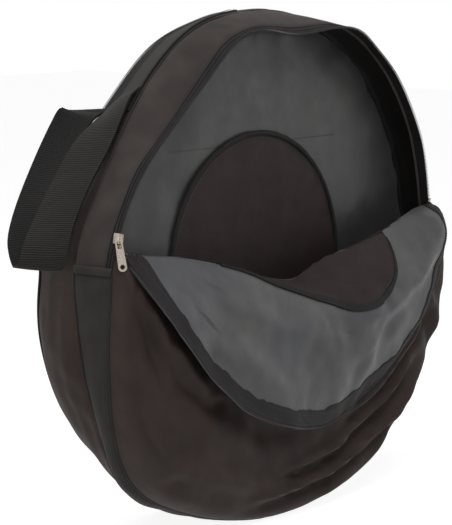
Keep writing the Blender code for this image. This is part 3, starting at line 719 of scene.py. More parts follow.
def flat_y(value):
    return lambda degrees: np.full_like(np.asarray(degrees, float), value)


def centred(degrees):
    return (degrees + 180.0) % 360.0 - 180.0


UPPER = ring_places(-SEAM_DEG, SEAM_DEG)
LOWER = centred(ring_places(SEAM_DEG, 360.0 - SEAM_DEG, 1.2))
AROUND = np.linspace(-180.0, 180.0, 180, endpoint=False)

# Each side band: radius and depth of its outer seam, its puff, and its seed
BANDS = {
    "front_strip": (strip_r, flat_y(FRONT_STRIP_Y), front_puff, 1),
    "front_band": (front_r, seam_y, front_puff, 2),
    "rear_strip": (rear_r, flat_y(REAR_STRIP_Y), rear_puff, 3),
    "rear_band": (rear_r, flat_y(REAR_Y), rear_puff, 4),
}


def band_points(band, degrees, share, lift=0.0):
    """Points on a side band, at these shares of the way from the middle to the outer seam."""
    edge_r, edge_y, puff, seed = BANDS[band]
    near, far = middle_r(degrees), edge_r(degrees)
    width = edge_y(degrees) - MIDDLE_Y
    y = MIDDLE_Y + width * share
    radius = near + (far - near) * share + puff(degrees) * np.sin(np.pi * share)
    for (depth, reach), part in ((MIDDLE_TUCK, share), (OUTER_TUCK, 1 - share)):
        radius = radius - depth * np.exp(-((part * np.abs(width) / reach) ** 2))
    wave = band_wave(on_ring(radius, degrees, y), degrees, share, seed)
    return on_ring(radius + wave + lift, degrees, y)


def band_wave(points, degrees, share, seed):
    """Soft unevenness of a side band, with folds that run along the strips and lower rear."""

    def folds(width, turn, angle, fold_seed):
        drawn = np.stack([points[..., 1] / width, turn / angle, np.zeros_like(turn)], -1)
        return noise_at(drawn, 1.0, fold_seed)

    wave = uneven(points, (0.0018, 0.055, seed), (0.0008, 0.020, seed + 3))
    if seed == REAR_BAND_SEED:
        turn = np.abs(degrees)
        slack = smoothstep(86.0, 100.0, turn) * (1.0 - smoothstep(128.0, 150.0, turn))
        wave = wave + 0.0055 * slack * folds(0.020, turn, 26.0, 9)
    if seed in STRIP_SEEDS:
        wave = wave + 0.0012 * folds(0.050, degrees, 9.0, seed + 20)
    wave = wave + crumple(points, 0.045, 0.0016, seed + 30)
    return wave * np.sin(np.pi * np.clip(share, 0.02, 0.98)) ** 0.5


def build_side_bands():
    """The four cloth bands of the side, their seams and stitching."""
    for band, places, outer, node in (
        ("front_strip", UPPER, "strip", "front_zip_gusset"),
        ("front_band", LOWER, "band", "front_lower_gusset"),
        ("rear_strip", UPPER, "shell", "rear_zip_gusset"),
        ("rear_band", LOWER, "shell", "rear_lower_gusset"),
    ):
        grid = band_points(band, *np.meshgrid(places, np.linspace(0.0, 1.0, 19)))
        if band.startswith("front"):
            grid = grid[::-1]
        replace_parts(cloth(f"{band}_cloth", grid, SHELL_T, [outer, "inside"], "bag"), node)

    around = ring_places(-180.0, 180.0, 1.2)[:-1]
    path = on_ring(middle_r(around) - MIDDLE_TUCK[0], around, MIDDLE_Y)
    seam = cord("middle_seam_cord", path, MIDDLE_CORD_R, "piping", "bag", wrap=True)
    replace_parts(seam, "middle_seam_piping")
    for side, edge_r, y in (("front", front_r, seam_y(LOWER)), ("rear", rear_r, REAR_Y + 0.0006)):
        path = on_ring(edge_r(LOWER) - 0.0008, LOWER, y)
        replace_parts(cord(f"{side}_seam_piping", path, PIPING_R, "piping", "bag"), f"{side}_piping")

    runs = []
    for inset in STITCH_INSETS:
        share = 1.0 - inset / np.abs(seam_y(LOWER) - MIDDLE_Y)
        runs.append((band_points("front_band", LOWER, share, STITCH_LIFT), outward(LOWER)))
    share = 1.0 - STRIP_STITCH_INSET / abs(FRONT_STRIP_Y - MIDDLE_Y)
    runs.append((band_points("front_strip", UPPER, share, STITCH_LIFT), outward(UPPER)))
    stitches("side_band_stitching", runs, "bag")
    build_band_ends()


def build_band_ends():
    """The hemmed ends of the lower front band, where the zip strip is sewn under it."""
    for sign, name in ((-1, "left"), (1, "right")):
        places = sign * (SEAM_DEG + np.array([-1.1, -0.9, -0.3, 0.4]))
        edge = band_points("front_band", *np.meshgrid(places, np.linspace(0.02, 0.99, 16)))
        out = unit(edge * np.array([1.0, 0.0, 1.0]) - np.array([0.0, 0.0, AXIS_Z]))
        grid = edge + out * np.array([0.0006, 0.0016, 0.0018, 0.0006])[:, None]
        grid = grid if sign < 0 else grid[:, ::-1]
        cloth(f"front_band_hem_{name}", grid, HEM_T, ["band"], "bag", side=-1)
        centre = edge[:, 2] + out[:, 2] * 0.0022
        stitches(f"front_band_hem_stitch_{name}", [(centre, out[:, 2])], "bag")


# Front lower panel


def panel_grid(columns=150, rows=70):
    """The sagging lower half of the front panel, from its round seam up to the fold."""
    u = np.linspace(-1.0, 1.0, columns)
    t = np.linspace(0.0, 1.0, rows)[:, None] ** 1.25
    degrees = centred(180.0 + 100.0 * u)
    rim_y = seam_y(degrees)
    rim = on_ring(front_r(degrees), degrees, rim_y)
    fold_x = -HEM_R * MM * np.sin(np.radians(90.0 * u))
    fold_z = AXIS_Z + FLAP_LINES[0][1](fold_x / MM) * MM
    fold = np.stack([fold_x, np.full_like(u, FRONT_Y - 0.004), fold_z - 0.004], -1)
    length = np.linalg.norm((fold - rim)[..., (0, 2)], axis=-1)
    inward = t * length
    swell = ring(PANEL_SWELL, 6.0)(degrees)
    puffed = swell * np.sin(np.pi * np.clip(inward / 0.060, 0.0, 1.0))
    points = rim + (fold - rim) * t[..., None] + outward(degrees) * puffed[..., None]
    rounding = np.clip(inward / 0.042, 0.0, 1.0)
    rise = np.sqrt(1.0 - (1.0 - rounding) ** 2)
    middle = smoothstep(0.0, 0.16, inward) * (1.0 - smoothstep(0.55, 1.0, t))
    face = -0.079 - 0.010 * middle + 0.010 * smoothstep(0.6, 1.0, t)
    points[..., 1] = rim_y + (face - rim_y) * rise * smoothstep(0.0, 0.05, length)
    return points, rise


def build_front_panel():
    """The fixed lower half of the front panel, with its soft folds."""
    points, rise = panel_grid()
    push = sum(ridge(points, *fold) for fold in PANEL_FOLDS) + uneven(points, *PANEL_UNEVEN)
    push = push + sum(crumple(points, *layer) for layer in PANEL_CRUMPLES)
    points[..., 1] -= push * rise
    points[..., 2] = np.maximum(points[..., 2], FLOOR_GAP)
    panel = cloth("front_panel_cloth", points, SHELL_T, ["shell", "lining"], "bag", side=-1)
    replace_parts(panel, "front_panel_lower")


# Front flap


def flap_section(x_mm, count):
    """One section of the flap: from just inside the fold, over it and down to the hem."""
    fold, *below = (np.array([forward(x_mm), up(x_mm)]) for forward, up in FLAP_LINES)
    size = min(1.0, np.linalg.norm(below[-1] - fold) / 60.0)
    root = np.array([min(fold[0] - 5.0 * size, 3.0), fold[1] - 9.0 * size])
    over = fold + np.array([-3.6, -2.0]) * size
    return catmull([root, over, fold, *below], count)


def flap_grid(columns=170, rows=72, left=-279.0, right=282.0):
    bend = np.radians(84.0 * np.linspace(-1.0, 1.0, columns))
    x = (right - left) / 2 * np.sin(bend) / math.sin(math.radians(84.0)) + (right + left) / 2
    grid = np.empty((rows, columns, 3))
    for j, place in enumerate(x):
        section = flap_section(place, rows) * MM
        grid[:, j, 0] = place * MM
        grid[:, j, 1] = FRONT_Y - section[:, 0]
        grid[:, j, 2] = AXIS_Z + section[:, 1]
    return grid


def shaped_flap():
    """The flap's front face with its soft folds, and its outward normals."""
    grid = flap_grid()
    share = np.linspace(0.0, 1.0, len(grid))[:, None]
    push = sum(ridge(grid, *fold) for fold in FLAP_FOLDS) + uneven(grid, *FLAP_UNEVEN)
    push = push + crumple(grid, *FLAP_CRUMPLE)
    ends = smoothstep(0.0, 0.045, np.abs(np.abs(grid[..., 0]) - 0.281))
    push = push * smoothstep(0.16, 0.4, share) * ends
    grid = grid - normals_of(grid) * push[..., None]
    return grid, -normals_of(grid)


def hem_rows(grid, widths):
    """Rows of points on the flap at these distances from its hem, in metres."""
    columns = grid.shape[1]
    steps = np.linalg.norm(np.diff(grid, axis=0), axis=-1)
    from_hem = np.concatenate([np.cumsum(steps[::-1], 0)[::-1], np.zeros((1, columns))])
    x = np.clip(grid[-1, :, 0] / MM, -270.0, 270.0)
    square = HEM_R / np.sqrt(HEM_R**2 - x**2)
    picked = np.empty((len(widths), columns, 3))
    for row, width in zip(picked, widths):
        reach = np.minimum(width * square, from_hem[5])
        for j in range(columns):
            for k in range(3):
                row[j, k] = np.interp(-reach[j], -from_hem[:, j], grid[:, j, k])
    return picked


def build_flap():
    """The hanging front flap, its zip tape, coil and half of the hub patch."""
    grid, normal = shaped_flap()
    flap = cloth("front_flap_cloth", grid, FLAP_T, ["lining", "shell"], None, side=-1)
    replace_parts(flap, "front_flap")
    lifted = grid + normal * 0.0010
    # The tape is wide and wavy where the flap's left corner is crumpled
    corner = 1.0 + 0.7 * np.exp(-(((grid[-1, :, 0] + 0.262) / 0.026) ** 2))
    widest = (TAPE_W + uneven(grid[-1], *TAPE_EDGE_UNEVEN)) * corner
    widths = [np.maximum(widest * part, 0.0016) for part in np.linspace(1.0, 0.08, 12)]
    band = hem_rows(lifted, widths)
    tape = cloth("front_flap_tape", band, FLAP_TAPE_T, ["tape"], None, side=-1)
    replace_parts(tape, "flap_zip_tape")
    path = hem_rows(lifted, [0.0008])[0]
    wound = coil("front_flap_coil", path, (0.0, -1.0, 0.0), None)
    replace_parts(wound, "flap_zip_coil")
    over = normal[-5]
    runs = [(row + over * 0.0002, over) for row in hem_rows(lifted, (0.0055, 0.0165, 0.0185))]
    rows = stitches("front_flap_tape_stitching", runs, None)
    # The cloth turns from the fixed panel over the fold to the flap; each piece's placement is baked
    # into its mesh
    for piece in (flap, tape, wound, rows, *build_flap_patch(grid, normal)):
        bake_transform(piece)


def build_flap_patch(grid, normal):
    """The round patch's part on the flap, with its binding."""
    rows = len(grid)
    x = grid[rows // 2, :, 0] / MM
    keep = np.flatnonzero((x > -138.0) & (x < 159.0))
    places = np.linspace(0.0, 1.0, rows)

    def at(shares, lift):
        """Rows of points at these shares of the way down the flap."""
        face = grid[:, keep] + normal[:, keep] * lift
        made = np.empty((len(shares), len(keep), 3))
        for i, n, k in np.ndindex(made.shape):
            made[i, n, k] = np.interp(shares[i][n], places, face[:, n, k])
        return made

    high, low = 0.075, line(PATCH_EDGE, 6.0)(x[keep])
    shares = [high + (low - high) * part for part in np.linspace(0.0, 1.0, 26)]
    patch = cloth("flap_patch_cloth", at(shares, 0.0012), PATCH_T, ["patch"], None, side=-1)
    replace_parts(patch, "flap_hub_patch")
    band = BINDING_W / np.array([distances(grid[:, j])[-1] for j in keep])
    shares = [low + band * part for part in (-1.0, -0.6, 0.0, 0.35)]
    rim = cloth("flap_patch_edge", at(shares, 0.0021), FLAP_BINDING_T, ["binding"], None, side=-1)
    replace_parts(rim, "flap_patch_binding")
    out = normal[(np.clip(low, 0.0, 1.0) * (rows - 1)).astype(int), keep]
    sewn = [(at([low - band * 1.5], 0.0016)[0], out)]
    return patch, rim, stitches("flap_patch_stitching", sewn, None)


# Divider


def disc_grid(radius, y, rings=40):
    """A round sheet from its centre out, with the share of its radius at each ring."""
    share = np.linspace(0.0, 1.0, rings)[:, None]
    return on_ring(np.maximum(radius * share, 0.0005), AROUND[None], y), share


def build_divider():
    """The padded divider, its hub patches on both faces and their edging."""
    angles, middle = np.array(MIDDLE_SEAM, float).T
    edge = np.interp(angles, *np.array(FRONT_EDGE, float).T, period=360) + 12.0
    rim = ring(np.stack([angles, np.minimum(middle, edge) - 6.0], -1))
    grid, share = disc_grid(rim(AROUND), MIDDLE_Y - 0.0020)
    swell = 0.0035 * np.sqrt(np.clip(1.0 - share**6, 0.0, 1.0)) + uneven(grid, *DIVIDER_UNEVEN)
    reach = np.hypot(grid[..., 0], grid[..., 2] - AXIS_Z)
    swell = np.where(reach > DIVIDER_PATCH_R, swell, np.minimum(swell, 0.0030))
    swell = swell + 0.0022 * smoothstep(0.150, 0.190, reach) * noise_at(grid, 0.045, 44)
    puckers = 0.0012 * np.sin(np.radians(AROUND) * 34 + 3 * noise_at(grid, 0.05, 43))
    swell = swell + puckers * smoothstep(0.84, 0.97, share)
    seam = np.exp(-(((grid[..., 2] - DIVIDER_SEAM_Z) / 0.0022) ** 2))
    grid[..., 1] -= swell - 0.0012 * seam * (np.abs(grid[..., 0]) < 0.16)
    pad = cloth("divider_pad", grid, PAD_T, ["divider"], "bag", wrap=True)
    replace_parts(pad, "divider_panel")
    x = np.linspace(-0.15, 0.15, 90)
    seam = np.stack(np.broadcast_arrays(x, MIDDLE_Y - 0.0060, DIVIDER_SEAM_Z), -1)
    stitches("divider_seam_stitching", [(seam, (0.0, -1.0, 0.0))], "bag")
    build_round_patch("divider_front", MIDDLE_Y - 0.0062, -1)
    build_round_patch("divider_rear", MIDDLE_Y + 0.0052, 1)


def build_round_patch(name, face, sign, radius=DIVIDER_PATCH_R):
    """A whole hub patch on one face of the divider, its binding and stitching."""
    grid, share = disc_grid(radius - 0.002, face)
    crown = 0.0022 * np.sqrt(np.clip(1.0 - share**4, 0.0, 1.0)) + 0.0012 * noise_at(grid, 0.045, 51)
    quilt = 0.0008 * np.exp(-(((share - 0.93) / 0.012) ** 2))
    grid[..., 1] += sign * (crown - quilt)
    patch = cloth(
        f"{name}_patch_cloth", grid, ROUND_PATCH_T, ["patch"], "bag", side=-sign, wrap=True
    )
    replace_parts(patch, f"{name}_hub_patch")
    rough = 0.0006 * noise_at(on_ring(radius, AROUND, 0.0), 0.012, 52)
    # The binding's round section: inset from its edge, and height over the patch
    profile = (
        (0.0, 0.0018), (0.0012, 0.0031), (0.0030, 0.0035), (0.0048, 0.0031), (0.0060, 0.0018),
    )
    rows = [on_ring(radius - inset + rough, AROUND, face + sign * up) for inset, up in profile]
    edge = cloth(
        f"{name}_patch_edge", rows, ROUND_BINDING_T, ["binding"], "bag", side=sign, wrap=True
    )
    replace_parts(edge, f"{name}_patch_binding")
    row = on_ring(radius - 0.0085, np.append(AROUND, 180.0), face + sign * 0.0022)
    stitches(f"{name}_patch_stitching", [(row, (0.0, sign, 0.0))], "bag")


# Rear panel


def build_rear_panel():
    """The closed rear panel as one cloth; its upper half is the flap that opens."""
    closed = smoothstep(76.0, 90.0, np.abs(AROUND))
    radius = rear_r(AROUND) - 0.0145 * (1 - closed) - 0.0015
    grid, share = disc_grid(radius, REAR_Y + 0.0015, 44)
    swell = 0.0100 * np.sqrt(np.clip(1.0 - share**5, 0.0, 1.0)) + uneven(grid, *REAR_UNEVEN)
    swell = swell + sum(ridge(grid, *fold) for fold in REAR_FOLDS)
    grid[..., 1] += swell * smoothstep(0.0, 0.06, 1.0 - share)
    panel = cloth(
        "rear_panel_cloth", grid, SHELL_T, ["shell", "lining"], None, side=-1, wrap=True
    )
    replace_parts(panel, "rear_flap", "rear_panel_lower")
    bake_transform(panel)
    build_half_patch("rear_flap", -74.0, 74.0, "rear_flap", -1, REAR_Y)
    build_half_patch("rear_panel", 106.0, 254.0, "bag", -1, REAR_Y)
    build_half_patch("front_panel", 106.0, 254.0, "bag", 1, FRONT_Y)


def build_half_patch(name, low, high, body, sign, y):
    """The half of a hub patch that is sewn inside a panel."""
    face = y - 0.0005
    patch_r = PATCH_R - 0.002
    degrees = ring_places(low, high, 2.0)
    outer = on_ring(patch_r, degrees, face)
    chord = outer.copy()
    chord[:, 2] = AXIS_Z + patch_r * math.cos(math.radians(low))
    grid = chord + (outer - chord) * np.linspace(0.0, 1.0, 18)[:, None, None]
    grid[..., 1] += sign * (0.0012 + 0.0010 * noise_at(grid, 0.05, 71))
    patch = cloth(f"{name}_inner_patch", grid[:, 1:-1], PATCH_T, ["patch"], body, side=-sign)
    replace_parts(patch, f"{name}_hub_patch")
    profile = ((0.0, 0.0022), (0.0015, 0.0034), (0.0045, 0.0034), (0.0060, 0.0022))
    rows = [on_ring(PATCH_R - inset, degrees[3:-3], face + sign * up) for inset, up in profile]
    edge = cloth(f"{name}_inner_patch_edge", rows, INNER_BINDING_T, ["binding"], body, side=sign)
    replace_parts(edge, f"{name}_patch_binding")


# Zips


def build_zips():
    """Both zips: the bag's tapes and coils, and the closed rear flap's."""
    upper = ring_places(-SEAM_DEG + 0.6, SEAM_DEG - 0.6)
    span = ring_places(-END_DEG + 0.8, END_DEG - 0.8, 0.5)
    shares = np.linspace(0.0, 1.0, 9)[:, None]
    forward, back = (0.0, -1.0, 0.0), (0.0, 1.0, 0.0)

    def tape_r(share):
        return strip_r(upper) + (front_r(upper) - strip_r(upper)) * share

    def on_tape(depth, near, far):
        """A line along the front tape at this depth between its two edges."""
        return on_ring(tape_r((depth - near) / (far - near)) + 0.0002, upper, depth)

    near, far = FRONT_TAPE_Y
    radius, y = tape_r(shares), near + (far - near) * shares
    waves = 0.0006 * noise_at(on_ring(radius, upper, y), 0.02, 81)
    grid = on_ring(radius - 0.0004 + waves, upper, y)
    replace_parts(cloth("front_tape_cloth", grid[::-1], TAPE_T, ["tape"], "bag"), "front_zip_tape")
    path = on_ring(front_r(span) - 0.0003, span, -0.0623)
    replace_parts(coil("front_coil", path, forward, "bag"), "front_zip_coil")
    runs = [(on_tape(y, FRONT_STRIP_Y, FRONT_Y), outward(upper)) for y in (-0.0525, -0.0580)]
    stitches("front_tape_stitching", runs, "bag", pitch=0.003, length=0.0021)
    for number, y in enumerate((-0.0502, -0.0555, -0.0602), 1):
        cord(f"front_tape_rib_{number}", on_tape(y, near, far), 0.00055, "piping", "bag")

    y = REAR_TAPE_Y + (REAR_Y - REAR_TAPE_Y) * shares
    grid = on_ring(rear_r(upper) - 0.0012, upper, y)
    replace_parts(cloth("rear_tape_cloth", grid, TAPE_T, ["tape"], "bag"), "rear_zip_tape")
    for name, inset, body in (("rear", 0.0014, "bag"), ("rear_flap", 0.0040, "rear_flap")):
        path = on_ring(rear_r(span) - inset, span, REAR_Y + 0.0018)
        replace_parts(coil(f"{name}_coil", path, back, body), f"{name}_zip_coil")
    inset = np.linspace(0.0055, 0.0170, 6)[:, None]
    grid = on_ring(rear_r(span) - inset, span, REAR_Y + 0.0026 + 0.12 * (inset - 0.0055))
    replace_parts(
        cloth("rear_flap_tape", grid, TAPE_T, ["tape"], "rear_flap"), "rear_flap_zip_tape"
    )
    run = on_ring(rear_r(span) - 0.0100, span, REAR_Y + 0.0036)
    stitches("rear_flap_tape_stitching", [(run, back)], "rear_flap")


# The zips' cast parts, and the bodies that they ride
HARDWARE = {
    "front_left_zip_stop": "bag",
    "front_right_zip_stop": "bag",
    "rear_left_zip_stop": "bag",
    "rear_right_zip_stop": "bag",
    "front_zip_slider": "front_slider",
    "rear_zip_slider": "rear_slider",
}


def build_hardware():
    """Sliders, pull tabs and end stops, their edges rounded as cast pieces have them."""
    for name, body in HARDWARE.items():
        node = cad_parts[name]
        bm = bmesh.new()
        bm.from_mesh(node.data)
        bm.transform(node.matrix_world)
        if name.endswith("zip_stop"):
            seat_stop(bm, front_r if name.startswith("front") else rear_r)
        bmesh.ops.remove_doubles(bm, verts=bm.verts, dist=0.00001)
        round_edges(bm, 0.0004)
        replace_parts(new_object(bm, f"{name}_cast", ["metal"], body, 40.0), name)
    build_tab("front_pull_tab", "front_tab")
    build_tab("rear_pull_tab", "rear_tab")


def seat_stop(bm, edge_r):
    """Moves an end stop in or out to the slack edge of the cloth that it is clamped on."""
    x, _, z = np.mean([v.co[:] for v in bm.verts], 0)
    degrees = math.degrees(math.atan2(x, z - AXIS_Z))
    shift = float(edge_r(degrees)) - 0.0012 - math.hypot(x, z - AXIS_Z)
    bmesh.ops.translate(bm, verts=bm.verts, vec=outward(degrees) * shift)


def round_edges(bm, width):
    sharp = [e for e in bm.edges if len(e.link_faces) == 2 and e.calc_face_angle() > 0.6]
    bmesh.ops.bevel(bm, geom=sharp, offset=width, segments=2, affect="EDGES", clamp_overlap=True)
    bmesh.ops.triangulate(bm, faces=bm.faces)
    bmesh.ops.recalc_face_normals(bm, faces=bm.faces)


def build_tab(name, body):
    """A stamped pull tab: rounded ends, a slot for the slider's bail and a round hole."""
    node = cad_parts[name]
    verts = np.array([node.matrix_world @ v.co for v in node.data.vertices])
    centre = verts.mean(0)
    axes = np.linalg.svd(verts - centre, full_matrices=False)[2]
    spread = (verts - centre) @ axes.T
    low, high = spread.min(0), spread.max(0)
    if abs(low[0]) < abs(high[0]):
        axes[0] *= -1
        low[0], high[0] = -high[0], -low[0]
    axes[2] = np.cross(axes[0], axes[1])
    half_w = (high[1] - low[1]) / 2 * 0.94
    half_t = (high[2] - low[2]) / 2
    middle = centre + axes[1] * (high[1] + low[1]) / 2
    near, far = low[0], high[0] - half_w

    def arc(along, across, radius, start, end, count):
        turn = np.radians(np.linspace(start, end, count))
        return [(along + radius * math.cos(t), across + radius * math.sin(t)) for t in turn]

    corner_r = 0.0026
    corner = half_w * 0.82 - corner_r
    rim = arc(far, 0.0, half_w, -80, 80, 18)
    rim += arc(near + corner_r, corner, corner_r, 95, 175, 6)
    rim += arc(near + corner_r, -corner, corner_r, 185, 265, 6)
    hole = arc(far - 0.0002, 0.0, 0.0026, 0, 345, 24)
    slot = []
    for start, along, across in ((0, 9.0, 1.4), (90, 3.6, 1.4), (180, 3.6, -1.4), (270, 9.0, -1.4)):
        slot += arc(near + along * MM, across * MM, 0.0009, start, start + 90, 4)
    bm = bmesh.new()
    for loop in (rim, hole, slot):
        made = [
            bm.verts.new(middle + axes[0] * u + axes[1] * v - axes[2] * half_t) for u, v in loop
        ]
        for k, vert in enumerate(made):
            bm.edges.new((vert, made[(k + 1) % len(made)]))
    bmesh.ops.triangle_fill(bm, use_beauty=True, edges=bm.edges[:])
    raised = bmesh.ops.extrude_face_region(bm, geom=bm.faces[:])["geom"]
    moved = [g for g in raised if isinstance(g, bmesh.types.BMVert)]
    bmesh.ops.translate(bm, verts=moved, vec=axes[2] * half_t * 2)
    bmesh.ops.recalc_face_normals(bm, faces=bm.faces)
    round_edges(bm, 0.0003)
    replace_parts(new_object(bm, f"{name}_stamped", ["metal"], body, 40.0), name)


# Webbing


def belt_radius(degrees, y):
    share = (y - MIDDLE_Y) / (REAR_STRIP_Y - MIDDLE_Y)
    return middle_r(degrees) * (1 - share) + rear_r(degrees) * share


def on_belt(degrees, y, lift):
    """Points at this height over the cloth that the belt is sewn on."""
    return on_ring(belt_radius(degrees, y) + lift, degrees, y)


def loop_edge(k):
    """The front (0) or the rear (1) edge of the handle loop, from the belt out and back."""
    y = WEBBING_Y + WEBBING_W * k
    edge = [on_belt(degrees, y, lift) for degrees, lift in LOOP_ROOT]
    for pair in LOOP_SHARES:
        out, back, down = pair[k]
        edge.append(LOOP_START + LOOP_SIZE * np.array((-out, back, -down)))
    edge.append(on_belt(LOOP_END_DEG, LOOP_END_Y[k], 0.0035))
    return catmull(edge, 130)


def build_webbing():
    """The belt sewn on the side band, the hanging handle and their stitching."""
    span = ring_places(-47.6, -4.5, 0.8)
    across = np.linspace(0.0, WEBBING_W, 12)
    # The belt's face is flat, and rolled down at both edges
    half_w = WEBBING_W / 2
    lift = 0.0036 - 0.0013 * (np.abs(across - half_w) / half_w) ** 6
    grid = on_belt(span[:, None], WEBBING_Y + across, lift)
    belt = cloth("webbing_belt", grid, WEBBING_T, ["webbing"], "bag", side=-1)
    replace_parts(belt, "carry_webbing")

    front, rear = loop_edge(0), loop_edge(1)
    shares = np.linspace(0.0, 1.0, 14)[:, None]
    grid = front[:, None] + (rear - front)[:, None] * shares
    grid = grid + normals_of(grid) * (0.0012 * np.sin(np.pi * shares))
    # One face of the loop wears the webbing copy with painted shade
    loop = cloth("webbing_loop", grid, LOOP_T, ["webbing_back", "webbing"], None, side=-1)
    sewn = on_belt(-45.0, 0.030, 0.0)
    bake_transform(loop)
    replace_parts(loop, "handle_loop")

    y = np.linspace(MIDDLE_Y + 0.008, MIDDLE_Y + 0.048, 24)
    for name, middle, lift in (("lower", -43.2, 0.0039), ("upper", -6.0, 0.0042)):
        rows = [
            turn + 0.12 * (np.arange(24) % 2)
            for turn in np.linspace(middle - 0.45, middle + 0.45, 5)
        ]
        runs = [(on_belt(places, y, lift), outward(places)) for places in rows]
        tack = stitches(f"webbing_tack_{name}", runs, "bag", 0.0014, 0.0022, 0.0006)
        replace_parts(tack, f"{name}_bartack")
    runs = [
        (on_belt(span, WEBBING_Y + inset, 0.0037), outward(span)) for inset in (0.004, 0.046)
    ]
    stitches("webbing_stitching", runs, "bag")


# Studio


def lamp(name, place, size, power):
    """A round lamp that faces the middle of the bag."""
    data = bpy.data.lights.new(name, "AREA")
    data.shape = "DISK"
    data.size = size
    data.energy = power
    obj = bpy.data.objects.new(name, data)
    obj.location = place
    aim = Vector((0.0, 0.0, 0.3)) - obj.location
    obj.rotation_euler = aim.to_track_quat("-Z", "Y").to_euler()
    bpy.context.scene.collection.objects.link(obj)


def white_to_camera(tree, lit, plain, share, strength):
    """Shows plain white to the camera, to gloss and through glass, and else the lit shader."""
    rays = [add(tree, "LightPath", output=f"Is {ray} Ray") for ray in ("Camera", "Glossy")]
    seen = add(tree, "Math", enumerate(rays), operation="MAXIMUM")
    through = add(tree, "LightPath", output="Is Transmission Ray")
    seen = add(tree, "Math", {0: seen, 1: through}, operation="MAXIMUM")
    seen = add(tree, "Math", {0: seen, 1: share}, operation="MULTIPLY")
    white = add(tree, plain, {"Color": "ffffff", "Strength": strength})
    return add(tree, "MixShader", {0: seen, 1: lit, 2: white})


def build_stage(look):
    """The floor, the lights and the photograph's camera."""
    scene = bpy.context.scene
    scene.view_settings.view_transform = "Standard"
    scene.world = bpy.data.worlds.new("studio_world")
    scene.world.use_nodes = True
    tree = scene.world.node_tree
    soft = add(tree, "Background", {"Color": "ffffff", "Strength": look.world_light})
    shown = white_to_camera(tree, soft, "Background", 1.0, 1.0)
    tree.links.new(shown, tree.nodes["World Output"].inputs["Surface"])

    # White paper: a matt floor that keeps the bag's shadow
    paper, tree, shader = base_material("studio_paper_white", 0.9)
    shader.inputs["Base Color"].default_value = (0.86, 0.86, 0.86, 1.0)
    bumped(tree, shader, (add(tree, "TexNoise", {"Scale": 300.0}), 0.02 * MM))
    shown = white_to_camera(tree, shader.outputs[0], "Emission", 0.5, 1.8)
    tree.links.new(shown, tree.nodes["Material Output"].inputs["Surface"])
    FINISHES["paper"] = paper
    bm = bmesh.new()
    bmesh.ops.create_grid(bm, x_segments=2, y_segments=2, size=6.0)
    new_object(bm, "studio_floor", ["paper"], None)

    lamp("key_light", (-1.3, -1.5, 2.5), 1.3, look.key_power)
    lamp("fill_light", (2.0, -1.5, 1.1), 1.8, look.fill_power)
    lamp("top_light", (-1.3, 0.3, 2.3), 1.4, look.top_power)

    data = bpy.data.cameras.new("camera")
    data.sensor_width = SENSOR_MM
    data.lens = FOCAL_PX / PHOTO_PX * SENSOR_MM
    data.clip_end = 50.0
    camera = bpy.data.objects.new("camera", data)
    turn, tilt = math.radians(CAMERA_TURN_DEG), math.radians(CAMERA_TILT_DEG)
    level = math.cos(tilt)
    aim = Vector((level * math.sin(turn), level * math.cos(turn), -math.sin(tilt)))
    camera.location = Vector((-0.1032, -0.057, AXIS_Z + 0.0147)) - aim * CAMERA_DISTANCE
    camera.rotation_euler = aim.to_track_quat("-Z", "Y").to_euler()
    scene.collection.objects.link(camera)
    scene.camera = camera


# Add-on


class WheelBagLook(bpy.types.PropertyGroup):
    """Settings of the bag's studio."""

    key_power: bpy.props.FloatProperty(
        name="Key light", description="Power of the large lamp at the front left",
        default=30.0, min=0.0, unit="POWER",
    )
    fill_power: bpy.props.FloatProperty(
        name="Fill light", description="Power of the soft lamp at the right",
        default=5.0, min=0.0, unit="POWER",
    )
    top_power: bpy.props.FloatProperty(
        name="Top light", description="Power of the lamp above the bag",
        default=17.0, min=0.0, unit="POWER",
    )
    world_light: bpy.props.FloatProperty(
        name="Room light", description="Strength of the even light from all round",
        default=0.065, min=0.0, subtype="FACTOR",
    )


class BagOperator:
    bl_options = {"REGISTER", "UNDO"}

    def execute(self, context):
        if not FINISHES:
            make_finishes()
        self.build(context.scene.wheel_bag_look)
        return {"FINISHED"}


class BAG_OT_side_bands(BagOperator, bpy.types.Operator):
    """Makes the bag's side bands and their seams"""

    bl_idname = "wheel_bag.side_bands"
    bl_label = "Side Bands"

    def build(self, look):
        build_side_bands()


class BAG_OT_panels(BagOperator, bpy.types.Operator):
    """Makes the lower front panel, the rear panel and the divider"""

    bl_idname = "wheel_bag.panels"
    bl_label = "Panels"

    def build(self, look):
        build_front_panel()
        build_rear_panel()
        build_divider()


class BAG_OT_flap(BagOperator, bpy.types.Operator):
    """Makes the hanging front flap"""

    bl_idname = "wheel_bag.flap"
    bl_label = "Front Flap"

    def build(self, look):
        build_flap()


class BAG_OT_zips(BagOperator, bpy.types.Operator):
    """Makes both zips and their metal parts"""

    bl_idname = "wheel_bag.zips"
    bl_label = "Zips"

    def build(self, look):
        build_zips()
        build_hardware()


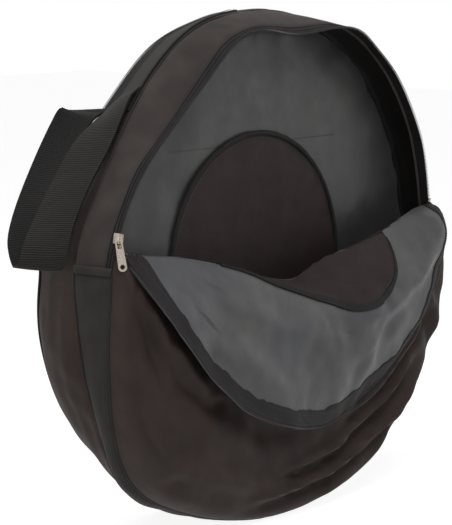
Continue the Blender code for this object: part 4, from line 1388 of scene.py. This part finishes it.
class BAG_OT_webbing(BagOperator, bpy.types.Operator):
    """Makes the webbing belt and the handle"""

    bl_idname = "wheel_bag.webbing"
    bl_label = "Webbing"

    def build(self, look):
        build_webbing()


class BAG_OT_stage(BagOperator, bpy.types.Operator):
    """Makes the floor, the lights and the camera"""

    bl_idname = "wheel_bag.stage"
    bl_label = "Studio"

    def build(self, look):
        build_stage(look)


OPERATORS = (
    BAG_OT_stage,
    BAG_OT_side_bands,
    BAG_OT_panels,
    BAG_OT_flap,
    BAG_OT_zips,
    BAG_OT_webbing,
)


class BAG_PT_panel(bpy.types.Panel):
    """Sidebar panel with the bag's build steps"""

    bl_label = "Wheel Bag"
    bl_idname = "BAG_PT_panel"
    bl_space_type = "VIEW_3D"
    bl_region_type = "UI"
    bl_category = "Wheel Bag"

    def draw(self, context):
        look = context.scene.wheel_bag_look
        for name in WheelBagLook.__annotations__:
            self.layout.prop(look, name)
        for operator in OPERATORS:
            self.layout.operator(operator.bl_idname)


CLASSES = (WheelBagLook, *OPERATORS, BAG_PT_panel)


def register():
    for made in CLASSES:
        bpy.utils.register_class(made)
    bpy.types.Scene.wheel_bag_look = bpy.props.PointerProperty(type=WheelBagLook)


def unregister():
    del bpy.types.Scene.wheel_bag_look
    for made in reversed(CLASSES):
        bpy.utils.unregister_class(made)


def main():
    register()
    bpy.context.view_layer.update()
    bpy.ops.wheel_bag.stage()
    bpy.ops.wheel_bag.side_bands()
    bpy.ops.wheel_bag.panels()
    bpy.ops.wheel_bag.flap()
    bpy.ops.wheel_bag.zips()
    bpy.ops.wheel_bag.webbing()


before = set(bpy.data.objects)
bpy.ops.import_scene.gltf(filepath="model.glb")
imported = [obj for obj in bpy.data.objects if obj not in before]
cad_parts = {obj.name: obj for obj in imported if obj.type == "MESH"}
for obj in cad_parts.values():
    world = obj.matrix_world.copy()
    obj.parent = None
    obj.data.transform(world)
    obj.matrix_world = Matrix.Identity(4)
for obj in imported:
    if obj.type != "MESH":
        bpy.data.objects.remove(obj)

if __name__ == "__main__":
    main()
